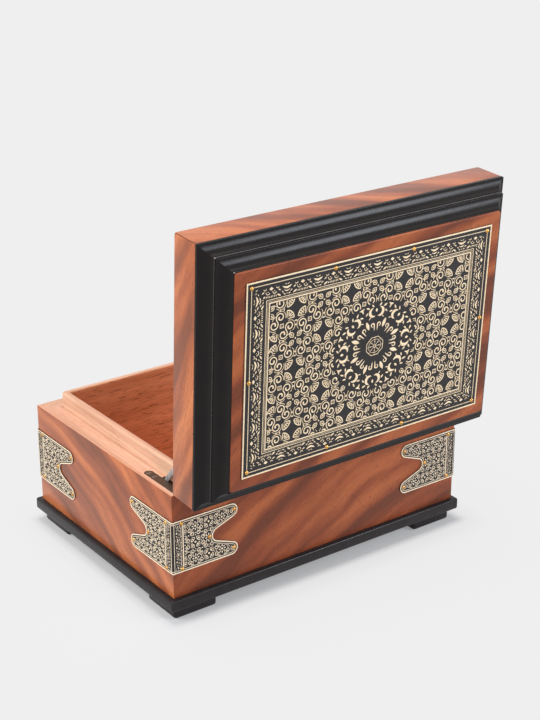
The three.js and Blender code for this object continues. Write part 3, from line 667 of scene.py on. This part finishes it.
def make_lid_top():
    panel = board(HALF_X - PANEL_INSET, HALF_Y - PANEL_INSET, LID_TOP + 0.3, PANEL_TOP, 2.5, 0, 1.1)
    add_piece("panel", panel, "lid", "veneer", [panel_veneer], ["raised_panel"])
    # painted shade: the board inside the lid is the cedar painted darker
    dressed("lid_board", "cedar", cedar_shaded["x"], 0.2)
    dressed("lid_lining", "cedar", cedar_pale["x"], 0.2)


def make_plinth():
    sheet = board(
        HALF_X + PLINTH_OVERHANG, HALF_Y + PLINTH_OVERHANG, FOOT_HEIGHT, CHEST_BOTTOM, 1.8, 1.5, 1.6)
    add_piece("plinth", sheet, "chest", "ebonised_wood", [plinth_lit_black], ["plinth_board"])
    for where, way_x, way_y in CORNERS:
        middle = (way_x * (HALF_X - FOOT_INSET - FOOT_HALF), way_y * (HALF_Y - FOOT_INSET - FOOT_HALF))
        block = board(FOOT_HALF, FOOT_HALF, 0, FOOT_HEIGHT, 2.9, 2.6, 0, middle)
        name = f"foot_{where}"
        add_piece(f"{name}_block", block, "chest", "ebonised_wood", [plinth_lit_black], [name])


# Raised ornament: strokes of varying width on a flat pattern, in millimetres

class Pattern:
    """Strokes as (points, widths), which can be copied, turned, flipped and cut."""

    def __init__(self, strokes=()):
        self.strokes = list(strokes)

    def add(self, points, widths):
        self.strokes.append((np.array(points, float), np.ones(len(points)) * widths))

    def lens(self, x0, y0, x1, y1, width, steps=6):
        """A leaf, pointed at both ends."""
        u = np.linspace(0, 1, steps + 1)[:, None]
        self.add((1 - u) * (x0, y0) + u * (x1, y1), width * np.sin(np.pi * u[:, 0]) ** 0.8)

    def horn(self, points, width):
        """A curved stroke, thick in the middle and pointed at both ends."""
        u = np.linspace(0, 1, len(points))
        self.add(points, width * np.sin(np.pi * u) ** 0.7)

    def dot(self, x, y, radius, stretch=1):
        self.lens(x, y - radius * stretch, x, y + radius * stretch, radius * 2)

    def copy(self, move=(0, 0), flip=(1, 1), turn=0, scale=(1, 1)):
        """Flips, then turns by degrees, then scales, then moves."""
        c, s = direction(turn)
        matrix = np.diag(scale) @ [[c, -s], [s, c]] @ np.diag(flip)
        growth = sqrt(abs(np.linalg.det(matrix)))
        return Pattern((points @ matrix.T + move, widths * growth) for points, widths in self.strokes)

    def mirrored(self):
        """The strokes together with their mirror image in x."""
        return Pattern(self.strokes + self.copy(flip=(-1, 1)).strokes)

    def weighted(self, share):
        return Pattern((points, widths * share) for points, widths in self.strokes)

    def join(self, other):
        self.strokes += other.strokes

    def cut(self, inside):
        """Keeps only the runs of points for which inside(points) holds."""
        kept = []
        for points, widths in self.strokes:
            held = np.concatenate([[False], inside(points), [False]]).astype(int)
            starts, ends = np.flatnonzero(np.diff(held) > 0), np.flatnonzero(np.diff(held) < 0)
            kept += [(points[a:b], widths[a:b]) for a, b in zip(starts, ends) if b - a > 1]
        return Pattern(kept)

    def relief(self, height, place):
        """The strokes as raised ribs; place(x, y, h) gives arrays of coordinates."""
        across = np.array([-1, -0.72, 0.72, 1])
        up = np.array([0, 1, 1, 0])
        vertices, faces, base = [], [], 0
        for points, widths in self.strokes:
            keep = np.append(True, np.linalg.norm(np.diff(points, axis=0), axis=1) > 1e-5)
            points, widths = points[keep], widths[keep]
            if len(points) < 2:
                continue
            normals = of_length_one(np.diff(points, axis=0) @ [(0, 1), (-1, 0)])
            looped = np.linalg.norm(points[0] - points[-1]) < 1e-3 and len(points) > 3
            first, last = (normals[-1:], normals[:1]) if looped else (normals[:1], normals[-1:])
            after = np.concatenate([normals, last])
            joint = of_length_one(np.concatenate([first, normals]) + after)
            stretch = 1 / np.maximum(np.sum(joint * after, axis=1), 0.6)
            side = joint * (stretch * np.maximum(widths, 0.02) / 2)[:, None]
            tall = height * np.minimum(1, widths / 0.5 + 0.15)
            flat = points[:, None, :] + side[:, None, :] * across[None, :, None]
            level = tall[:, None] * up
            block = np.concatenate([flat, level[:, :, None]], 2).reshape(-1, 3)
            vertices.append(block)
            end = base + len(block) - 4
            faces += [(a, a + 4, a + 5, a + 1) for i in range(base, end, 4) for a in range(i, i + 3)]
            if not looped:
                faces += [(base, base + 1, base + 2, base + 3), (end + 3, end + 2, end + 1, end)]
            base = end + 4
        return np.column_stack(place(*np.concatenate(vertices).T)), faces


def of_length_one(rows):
    return rows / np.maximum(np.linalg.norm(rows, axis=1)[:, None], 1e-6)


def scroll(cx, cy, radius, start, steps, turns=1.22):
    """A spiral that starts on its rim at an angle in degrees and winds in to a thick bud."""
    u = np.linspace(0, 1, steps + 1)
    angles = np.radians(start) + turns * 2 * np.pi * u
    reach = radius * (1 - 0.52 * u - 0.3 * u ** 3)
    points = np.column_stack([cx + reach * np.cos(angles), cy + reach * np.sin(angles)])
    return points, 1 + 0.9 * u ** 4 - 0.9 * np.maximum(u - 0.94, 0) / 0.06


def lattice_cell(fine):
    """One cell of the field: two S-scrolls, two fans towards the stars, two buds towards the crosses."""
    cell = Pattern()
    leaves = ((-21, 3, 1.25), (0, 1.8, 1.25), (21, 3, 1.25)) if fine else ((0, 2.4, 1.9),)
    for sign, out in ((1, 45), (-1, -135)):
        first, second = np.array([1.6, 7.2]) * sign, np.array([7.2, 1.7]) * sign
        apart = second - first
        heading = degrees(atan2(apart[1], apart[0]))
        radius = np.linalg.norm(apart) / 2
        for centre, start, turn in ((first, heading, 1), (second, heading + 180, -1)):
            cell.add(*scroll(*centre, radius, start, 24 if fine else 18))
            if fine:
                cell.add(arc(*centre, radius + 1.15, out - 5 * turn, out + 150 * turn, 10), 0.5)
        hub, fan = np.array([-4.5, 4.7]) * sign, out + 90
        cell.add(arc(*hub, 6.7, fan - 43, fan + 43, 10), 1.05)
        for spread in (-43, 43):
            way = direction(fan + spread)
            cell.add([hub + 0.8 * way, hub + 3.8 * way, hub + 6.7 * way], [0.5, 0.9, 1])
        for spread, root, width in leaves:
            way = direction(fan + spread)
            cell.lens(*(hub + root * way), *(hub + 6.4 * way), width)
        way, side = direction(out), direction(out + 90)
        root = way * 10.9
        if fine:
            u = np.linspace(0, 1, 9)[:, None]
            for turn in (-1, 1):
                cell.add(root + way * 5.2 * u + side * np.sin(np.pi * u) * 1.8 * turn, 0.75)
        cell.lens(*(root + way * 1), *(root + way * 3.8), 1.3 if fine else 2.2)
        cell.add([root - side * 2.6 - way * 0.9, root, root + side * 2.6 - way * 0.9], [0.3, 0.9, 0.3])
    if not fine:
        cell.dot(0, 0, 1.1)
        return cell.weighted(1.1)
    cell.add([(1.5, 1.5), (-1.5, 1.5), (-1.5, -1.5), (1.5, -1.5), (1.5, 1.5)], 0.7)
    cell.dot(0, 0, 0.5)
    return cell


CELL = np.array([26.3, 25.6])


def lattice(reach_x, reach_y, fine):
    """The field round a cross corner at (0, 0), each cell the mirror image of its neighbours."""
    field = Pattern()
    cell = lattice_cell(fine)
    for i, j in product(range(-reach_x, reach_x + 1), range(-reach_y, reach_y + 1)):
        corner = np.array([i, j]) * CELL
        x, y = corner
        field.join(cell.copy(move=corner + CELL / 2, flip=(-1 if i % 2 else 1, -1 if j % 2 else 1)))
        is_cross = (i + j) % 2 == 0
        if is_cross or not fine:
            field.dot(x, y, 0.8 if fine else 1.8)
        for way in map(direction, (0, 90, 180, 270)) if is_cross and not fine else ():
            field.lens(*(corner + 2.9 * way), *(corner + 7.4 * way), 2)
        for level in (1.7, -1.7):
            high, right = y + CELL[1] / 2 + level, x + CELL[0] / 2 + level
            field.lens(x - 1.6, high, x + 1.6, high, 1.3, 4)
            field.lens(right, y - 1.3, right, y + 1.3, 1.2, 4)
    return field


def medallion():
    """Eight pairs of horns round a dot, eight leaves with pairs of hooks, and a small rosette."""
    petal = Pattern()
    petal.horn(arc(2.6, 29.2, 3.6, 82, -114, 16), 2.5)
    petal.lens(10, 27.2, 8.1, 29.8, 1.4)
    petal.lens(9.9, 34.1, 6.5, 32.6, 1.5)
    petal.lens(4.8, 36, 2.5, 33.6, 1.4)
    petal.lens(6.9, 23.3, 5.3, 25.4, 0.9)
    hook = [(1.3, 13.4), (1.35, 15.2), (1.5, 17), *arc(2.9, 18.2, 1.45, 165, -85, 10)]
    petal.add(hook, [0.15, 0.8, 1.15, *np.linspace(1.25, 0.6, 11)])
    petal = petal.mirrored()
    petal.dot(0, 30.6, 1, 1.6)
    petal.add([(0, 1.3), (0, 5.4)], 0.3)
    petal.dot(0, 4, 0.5)
    rays = Pattern()
    rays.lens(0, 16, 0, 24, 3, 8)
    rays.add([(-2.4, 36.3), (0, 35.3), (2.4, 36.3)], [0.2, 2.1, 0.2])
    rays.lens(0, 32.2, 0, 36, 1.4)
    whole = Pattern()
    for k in range(8):
        whole.join(petal.copy(turn=45 * k))
        whole.join(rays.copy(turn=45 * k + 22.5))
        whole.dot(*(7 * direction(45 * k)), 0.4)
    for radius, width in ((5.7, 0.35), (1.1, 0.5)):
        whole.add(arc(0, 0, radius, 0, 360, 32), width)
    whole.add(arc(0, 0, 8.2, 22.5, 382.5, 8), 0.5)
    return whole.copy(scale=(1.07, 1))


def border_unit(period):
    """A diamond with scrolls at 0 and a palmette at half a period; y runs in from the plate's edge."""
    half = period / 2
    unit = Pattern()
    unit.dot(3, 10.6, 0.45)
    unit.horn(arc(5.8, 7.6, 1.3, 190, 0, 7), 0.75)
    unit.lens(6.2, 9.9, 8.7, 11.2, 1.15)
    unit.lens(5.2, 13.6, 8.9, 15.7, 1.6)
    for x, lean in ((1.4, 0.15), (2.7, 0.45), (4, 0.8)):
        unit.lens(x, 13.6, x + lean, 15.6, 0.75)
    unit.lens(half - 4.9, 12.5, half - 3, 13.7, 1)
    unit.lens(half - 3.3, 14.6, half - 1.2, 15.5, 1)
    unit.horn([(half - 2.3, 6.7), (half - 1.1, 7.4), (half, 7.8)], 0.75)
    unit = unit.mirrored()
    for x in (3, -3):
        unit.add(arc(x, 10.9, 1.75, 20, 195, 9), 0.62)
    unit.add([(-1.9, 8.5), (0, 8.5), (1.9, 8.5)], [0.1, 3.3, 0.1])
    unit.dot(0, 14.8, 0.45, 2.2)
    for points, width in (
        ([(-4.4, 8.5), (-2.6, 9.6), (0, 10.4), (2.6, 9.6), (4.4, 8.5)], 1.9),
        ([(-3, 11.7), (-1.5, 12.5), (0, 12.9), (1.5, 12.5), (3, 11.7)], 1.15),
    ):
        unit.horn(np.array(points) + (half, 0), width)
    unit.dot(half, 15, 0.5)
    return unit


PLATE_X, PLATE_Y = HALF_X - PLATE_INSET, HALF_Y - PLATE_INSET


def plate_pattern():
    """The plate as it is seen: x runs to the viewer's right and y towards the lid's front edge."""
    heart = np.array([4.4, 1.5])
    whole = Pattern()
    for inset_x, inset_y, width in (
        (0.75, 0.75, 1.3), (4.7, 4.3, 0.6), (18.4, 17.1, 0.55), (19.7, 18.4, 0.3), (21.2, 19.8, 1.1),
    ):
        corners = [(1, 0), (1, 1), (-1, 1), (-1, -1), (1, -1), (1, 0)]
        whole.add(np.array(corners) * (PLATE_X - inset_x, PLATE_Y - inset_y), width)

    def in_field(points):
        outside_heart = (((points - heart) / (41, 37.6)) ** 2).sum(1) > 1
        return outside_heart & (abs(points) < (PLATE_X - 22, PLATE_Y - 20.5)).all(1)

    whole.join(lattice(6, 4, True).copy(move=heart).cut(in_field).weighted(0.92))
    whole.join(medallion().copy(move=heart))
    for turn, length, depth, period, shift, deep in (
        (0, PLATE_X, PLATE_Y, 28.85, 2.6 + 28.85 / 2, 17.4), (90, PLATE_Y, PLATE_X, 25.8, 0, 17.8),
        (180, PLATE_X, PLATE_Y, 28.85, -2.6 + 28.85 / 2, 17.4), (270, PLATE_Y, PLATE_X, 25.8, 0, 17.8),
    ):
        unit = border_unit(period).copy(flip=(1, -1))
        side = Pattern()
        for k in range(-4, 5):
            side.join(unit.copy(move=(shift + k * period, depth)))

        def in_band(points, length=length, depth=depth, deep=deep):
            d = depth - points[:, 1]
            return (abs(points[:, 0]) < length - np.maximum(d, 6)) & (d < deep) & (d > 5.6)

        whole.join(side.cut(in_band).weighted(0.88).copy(turn=turn))
    return whole


def make_plate():
    top = PLATE_TOP - RELIEF
    ground = board(PLATE_X, PLATE_Y, PANEL_TOP, top, 1.2, 0, 0.25)
    add_piece("plate_ground", ground, "lid", "damascene", [dark_ground], ["ornament_plate"])
    ornament = plate_pattern().relief(RELIEF, lambda x, y, h: (-x, -y, top + h))
    add_piece("plate_ornament", ornament, "lid", "pale_gold", [gold_line], closed=False, sharp=30)
    spots = [(way_x * x, way_y * 75.8) for x in (116, 38.6) for way_x in (1, -1) for way_y in (1, -1)]
    for i, (x, y) in enumerate(spots + [(116.4, 0), (-116.4, 0)]):
        make_pin(f"plate_pin_{i + 1}", "lid", Matrix.Translation((x, y, top)))


def make_pin(name, body, local):
    """A round-headed pin, seen as a low dome with a thin skirt."""
    dome = [(0.02, 1.15), *arc(0, 0, 1.75, 78, 12, 6, 1.15), (1.8, 0), (0.02, 0)]
    add_piece(name, lathe(dome, 20), body, "brass", [pin_brass], (), local)


# Corner brackets, drawn flat and folded; TIP and NOTCH follow the photograph, not the CAD model

LEG, BRACKET_HEIGHT, BRACKET_MIDDLE = 62.7, 47.1, 45.8
FISHTAIL, TIP, NOTCH = 24.4, 6.2, 5.6
SHEET, FOLD = 1, 1.4
FOLD_START = FOLD - SHEET


def fishtail(start, inset):
    """One leg's edge, moved in by an inset: from the top of the fold round to its foot."""
    half = BRACKET_HEIGHT / 2
    tip = np.array([LEG - TIP, half - TIP])
    notch = np.array([LEG - FISHTAIL + NOTCH, 0])
    apart = tip - notch
    lean = degrees(atan2(apart[1], apart[0]) + acos((TIP + NOTCH) / np.linalg.norm(apart)))
    tip_bend = arc(*tip, TIP - inset, 90, lean - 180, 14)
    notch_bend = arc(*notch, NOTCH + inset, lean, 180, 7)
    upper = np.concatenate([[(start, half - inset)], tip_bend, notch_bend])
    return np.concatenate([upper, upper[-2::-1] * (1, -1)])


def sheet_edge(inset, fold_steps=6):
    """The edge of the flat sheet: a leg, the fold's foot, the other leg and the fold's top."""
    leg = fishtail(FOLD_START, inset)
    fold = np.linspace(FOLD_START, -FOLD_START, fold_steps + 1)[1:-1]
    top = BRACKET_HEIGHT / 2 - inset
    foot_row, top_row = [(t, -top) for t in fold], [(t, top) for t in fold[::-1]]
    return np.concatenate([leg, foot_row, leg[::-1] * (-1, 1), top_row])


def round_corner(t, z, h):
    """Where a point of the flat sheet lies; t runs along the back, or, below 0, along the side."""
    angle = np.pi / 4 * (1 - np.clip(t / FOLD_START, -1, 1))
    reach = FOLD_START + h
    x = HALF_X - FOLD_START + reach * np.sin(angle) - np.maximum(t - FOLD_START, 0)
    y = HALF_Y - FOLD_START + reach * np.cos(angle) - np.maximum(-t - FOLD_START, 0)
    return x, y, CHEST_BOTTOM + BRACKET_MIDDLE + z


def bracket_sheet(fold_steps=6):
    """The folded sheet with a softened outer edge."""
    rings = [
        np.column_stack(round_corner(*sheet_edge(inset, fold_steps).T, height))
        for inset, height in ((0, 0.02), (0, SHEET - 0.45), (0.3, SHEET - 0.2))
    ]
    legs = len(fishtail(FOLD_START, 0))
    vertices, faces = loft(rings, capped=False)
    for level, way in ((0, -1), (len(rings) - 1, 1)):
        ring = np.arange(len(rings[0])) + level * len(rings[0])
        foot_row = ring[legs - 1: legs + fold_steps]
        top_row = [ring[0], *ring[::-1][:fold_steps]]
        for i in range(fold_steps):
            faces.append(tuple([foot_row[i], foot_row[i + 1], top_row[i + 1], top_row[i]][::way]))
        faces.append(tuple(ring[:legs][::-way]))
        faces.append(tuple(ring[legs + fold_steps - 1: 2 * legs + fold_steps - 1][::-way]))
    return vertices, faces


def inside_leg(points, inset, start):
    """Whether points lie in a leg, clear of its edge by an inset and past a start line."""
    edge = fishtail(start, inset)
    x, y = points.T
    inside = np.zeros(len(points), bool)
    for (x0, y0), (x1, y1) in zip(edge, np.roll(edge, -1, 0)):
        if y0 != y1:
            inside ^= ((y0 > y) != (y1 > y)) & (x < x0 + (y - y0) * (x1 - x0) / (y1 - y0))
    return inside


def bracket_pattern():
    """Ornament of the unfolded bracket."""
    half, period = BRACKET_HEIGHT / 2, 25.8
    leg = Pattern()
    leg.add([(9.6, half - 2.4), (9.6, 2.4 - half)], 1.1)
    field = lattice(3, 3, False).copy(scale=(0.49, 0.57), move=(34.2, 0))
    leg.join(field.cut(lambda points: inside_leg(points, 2.9, 10.6)))
    band = Pattern()
    unit = border_unit(period)
    for k in range(-2, 3):
        band.join(unit.copy(move=(k * period, -11)))

    def in_band(points):
        return (abs(points[:, 1]) < half - 3) & (points[:, 0] > 1.9) & (points[:, 0] < 8.6)

    leg.join(band.copy(turn=-90, scale=(0.68, 0.5), move=(5.2, 0)).cut(in_band).weighted(0.8))
    whole = leg.mirrored()
    for t, width in ((-1, 0.75), (1.1, 0.45)):
        whole.add([(t, half - 1.2), (t, 1.2 - half)], width)
    for inset, width in ((0.62, 1.1), (2.4, 0.5)):
        edge = sheet_edge(inset)
        whole.add(np.concatenate([edge, edge[:1]]), width)
    return whole


def make_brackets():
    sheet = bracket_sheet()
    top = SHEET - 0.2
    ornament = bracket_pattern().relief(0.2, lambda t, z, h: round_corner(t, z, top + h))
    pins = ((59.2, 17.8), (59, -17.3), (35.2, 0.1), (8.4, 20.4), (8.4, -20.6))
    for where, way_x, way_y in CORNERS:
        mirror = Matrix.Diagonal((way_x, way_y, 1, 1))
        name = f"bracket_{where}"
        add_piece(f"{name}_sheet", sheet, "chest", "damascene", [dark_ground], [name], mirror, sharp=28)
        add_piece(
            f"{name}_ornament", ornament, "chest", "pale_gold", [bracket_gold], (), mirror, closed=False,
            sharp=30)
        for i, (t, z) in enumerate(pins):
            for leg, way, axis in (("back", 1, "X"), ("side", -1, "Y")):
                spot = Matrix.Translation(np.array(round_corner(way * t, z, top)))
                turn = Matrix.Rotation(radians(-90 * way), 4, axis)
                make_pin(f"{name}_pin_{leg}_{i + 1}", "chest", mirror @ spot @ turn)


# Hinges, hygrometer, humidifier

def make_hinges():
    for side in ("left", "right"):
        for part in ("chest", "lid"):
            dressed(f"hinge_leaf_{part}_{side}", "hinge_bronze", bronze, 0.18)
            for i in (1, 2):
                make_screw(f"screw_{part}_{side}_{i}", part)
        dressed(f"hinge_pin_{side}", "steel", steel, 0.12)
        dressed(f"hinge_strut_{side}", "steel", steel, 0.22)


def make_screw(node, body):
    """A countersunk screw with a nearly flat head and a straight slot, turned its own way."""
    low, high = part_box(node)
    hand = 1 if low.x > 0 else -1
    y = (PLACES[body].inverted() @ ((low + high) / 2)).y
    level, way = (RIM, 1) if body == "chest" else (LEAF_FACE, -1)
    profile = [
        (0.02, 0.05), (1.2, 0.04), (2, 0), (2.2, -0.06), (1.1, -1.1), (1.1, -7.7), (0.4, -11),
        (0.02, -11),
    ]
    angle = 0.6 + 1.3 * (y % 1) + (0.7 if hand > 0 else 0)
    c, s = cos(angle), sin(angle)

    def at(height):
        return lambda a, b: (a * c - b * s, a * s + b * c, height)

    slot = prism([(-3, -0.4), (3, -0.4), (3, 0.4), (-3, 0.4)], at(-0.6), at(1))
    x = hand * (HALF_X - LEAF_INSET - LEAF_WIDTH / 2)
    local = Matrix.Translation((x, y, level)) @ Matrix.Diagonal((1, 1, way, 1))
    add_piece(
        node + "_slotted", carved(lathe(profile, 28), [slot]), body, "steel", [dark_steel], [node], local)


HYGROMETER = Matrix.Translation((76, 0, 18.55))


def make_hygrometer():
    """Case, bezel, lens and dial are turned; their heights run up into the lid board."""
    cup = [(0.02, 7), (18, 7), (18, 3.1), (21, 3.1), (21, -0.5), (22, -0.5), (22, 8), (0.02, 8)]
    bezel = [
        (20, -2.7), *arc(20.4, -2.6, 0.4, 180, 270, 3), *arc(23.6, -1.1, 2.4, 270, 355, 6, 1.9),
        (26, -0.05), (22.3, -0.05), (22.3, -2.1), (20, -2.1),
    ]
    glass = [(0.02, -1.85), (20.5, -1.8), (22, -1.75), (22, -0.85), (0.02, -0.85)]
    card = [(0.8, 2.2), (20.7, 2.2), (20.7, 2.8), (0.8, 2.8)]
    for name, shape, slot, paint, node in (
        ("cup", lathe(cup, 96), "brass", polished_brass, "case"),
        ("ring", lathe(bezel, 96), "brass", polished_brass, "bezel"),
        ("glass", lathe(glass), "lens_glass", lens, "lens"),
        ("card", lathe(card), "dial", dial_card, "dial"),
    ):
        add_piece(f"hygrometer_{name}", shape, "lid", slot, [paint], [f"hygrometer_{node}"], HYGROMETER)
    dressed("hygrometer_needle", "steel", needle_black, 0.05, 1)
    make_dial_marks()


def make_dial_marks():
    """Ticks round three quarters of the dial, and plain numbers from 0 to 100."""
    marks = Pattern()
    for k in range(51):
        major = k % 5 == 0
        way = direction(225 - 270 * k / 50)
        marks.add([way * (16.6 if major else 17.8), way * 19.2], 0.45 if major else 0.22)
    marks.add(arc(0, 0, 19.4, -45, 225, 60), 0.25)
    shape = marks.relief(0.04, lambda x, y, h: (x, -y, 2.19 - h))
    add_piece("hygrometer_ticks", shape, "lid", "dial", [dial_ink], (), HYGROMETER, closed=False)
    for k in range(6):
        text = bpy.data.curves.new(f"dial_number_{20 * k}", "FONT")
        text.body, text.size, text.extrude = str(20 * k), 3.4, 0.02
        text.align_x = text.align_y = "CENTER"
        text.materials.append(dial_ink)
        temporary = link("number", text)
        mesh = bpy.data.meshes.new_from_object(evaluated(temporary))
        bpy.data.objects.remove(temporary)
        x, y = 13.6 * direction(225 - 270 * k / 5)
        spot = Matrix.Translation((x, -y, 2.17))
        mesh.transform(LID @ HYGROMETER @ spot @ Matrix.Rotation(pi, 4, "X"))
        number = link(f"dial_number_{20 * k}", mesh)
        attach(number, "lid")


def make_humidifier():
    dressed("humidifier_case", "black_plastic", tray_plastic, 0.35)
    dressed("humidifier_grille", "black_plastic", tray_plastic, 0.18, 1)
    dressed("humidifier_foam", "foam", foam, 0.6)
    dressed("humidifier_keeper", "steel", steel, 0.15)
    for side in ("left", "right"):
        dressed(f"humidifier_magnet_{side}", "steel", steel, 0.2)


# Studio

PALE = as_rgba((239, 239, 239))


def make_camera():
    """The photograph's viewpoint, fitted to corner points in it."""
    data = bpy.data.cameras.new("camera")
    data.lens = 79.382
    data.clip_start, data.clip_end = 0.01, 50
    camera = link("camera", data)
    azimuth, elevation, roll = map(radians, (53.875, 22.363, -0.046))
    level = cos(elevation)
    back = Vector((cos(azimuth) * level, sin(azimuth) * level, sin(elevation)))
    aim(camera, (0.742219, 1.023297, 0.686439), back, roll)
    bpy.context.scene.camera = camera


def aim(made, location, back, roll=0):
    """Places a camera or a lamp; back leads from what it looks at to itself."""
    made.location = location
    made.rotation_mode = "QUATERNION"
    made.rotation_quaternion = back.to_track_quat("Z", "Y") @ Quaternion((0, 0, 1), roll)


def make_world():
    """A soft warm sky for light, and a pale even one for what the camera or a reflection sees."""
    world = bpy.data.worlds.new("studio")
    bpy.context.scene.world = world
    world.use_nodes = True
    tree = world.node_tree
    w = Nodes(tree)
    sky = tree.nodes["Background"]
    w.put(sky, {0: (1, 0.99, 0.97, 1), 1: 0.34})
    path = tree.nodes.new("ShaderNodeLightPath").outputs
    seen_by = path["Is Camera Ray"]
    for kind in ("Is Glossy Ray", "Is Transmission Ray"):
        seen_by = w.math("MAXIMUM", seen_by, path[kind])
    mix = w.add("MixShader", {0: seen_by, 1: sky.outputs[0], 2: w.add("Background", {0: PALE})})
    w.put(tree.nodes["World Output"], {"Surface": mix})


def make_floor():
    """A pale floor that keeps the box's shadow and runs into the background further out."""
    f = Finish("studio_floor", 0.9, Specular_IOR_Level=0.1, Base_Color=as_rgba((216, 216, 218)))
    outside = f.place
    half_box, origin = (0.155, 0.114, 9), (0, 0, 0)
    for operation, value in (
        ("SUBTRACT", middle_of_box), ("ABSOLUTE", origin), ("SUBTRACT", half_box), ("MAXIMUM", origin),
    ):
        outside = f.vectors(operation, outside, value)
    distance = f.add("VectorMath", {0: outside}, "Value", operation="LENGTH")
    share = f.math("DIVIDE", distance, 0.14)
    far = f.ramp(share, (0, 0.3), (0.06, 0.8), (0.2, 0.93), (1, 1))
    glow = f.add("Emission", {"Color": PALE, "Strength": 1})
    blend = f.add("MixShader", {0: far, 1: f.shader.outputs[0], 2: glow})
    f.put(f.tree.nodes["Material Output"], {"Surface": blend})
    reach = 12
    corners = [(-reach, -reach, 0), (reach, -reach, 0), (reach, reach, 0), (-reach, reach, 0)]
    mesh = make_mesh("floor", (corners, [(0, 1, 2, 3)]), closed=False)
    mesh.materials.append(f.material)
    floor = link("floor", mesh)
    floor.location.z = -0.0003


def add_area(name, location, target, width, height, power, colour=(1, 1, 1)):
    data = bpy.data.lights.new(name, "AREA")
    data.shape, data.size, data.size_y = "RECTANGLE", width, height
    data.energy, data.color = power, colour
    aim(link(name, data), location, Vector(location) - Vector(target))


make_camera()
make_world()
make_floor()
add_area("key", (1.7, 0.1, 1.5), (0, 0, 0.15), 1.3, 1.3, 33)
add_area("top", (0.05, -0.15, 1.9), (0, 0, 0.15), 1, 1, 18.5)
add_area("fill", (-1.2, 1.65, 0.95), (0, 0.1, 0.3), 0.75, 1.05, 27, (0.84, 0.9, 1))
bpy.context.scene.view_settings.view_transform = "Standard"

make_walls("chest", veneers, "y", WALL, CHEST_BOTTOM, RIM, (0.3, 0.3, 0.3, 0.8), 0.9, RIM, 1)
make_walls(
    "lid", lid_veneers, "lid_y", LID_WALL, LEAF_FACE, LID_TOP, (1.2, 0.3, 0.1, 0.5), 1.8, LEAF_FACE, -1)
make_lining()
make_moulding()
make_lid_top()
make_plinth()
make_plate()
make_brackets()
make_hinges()
make_hygrometer()
make_humidifier()
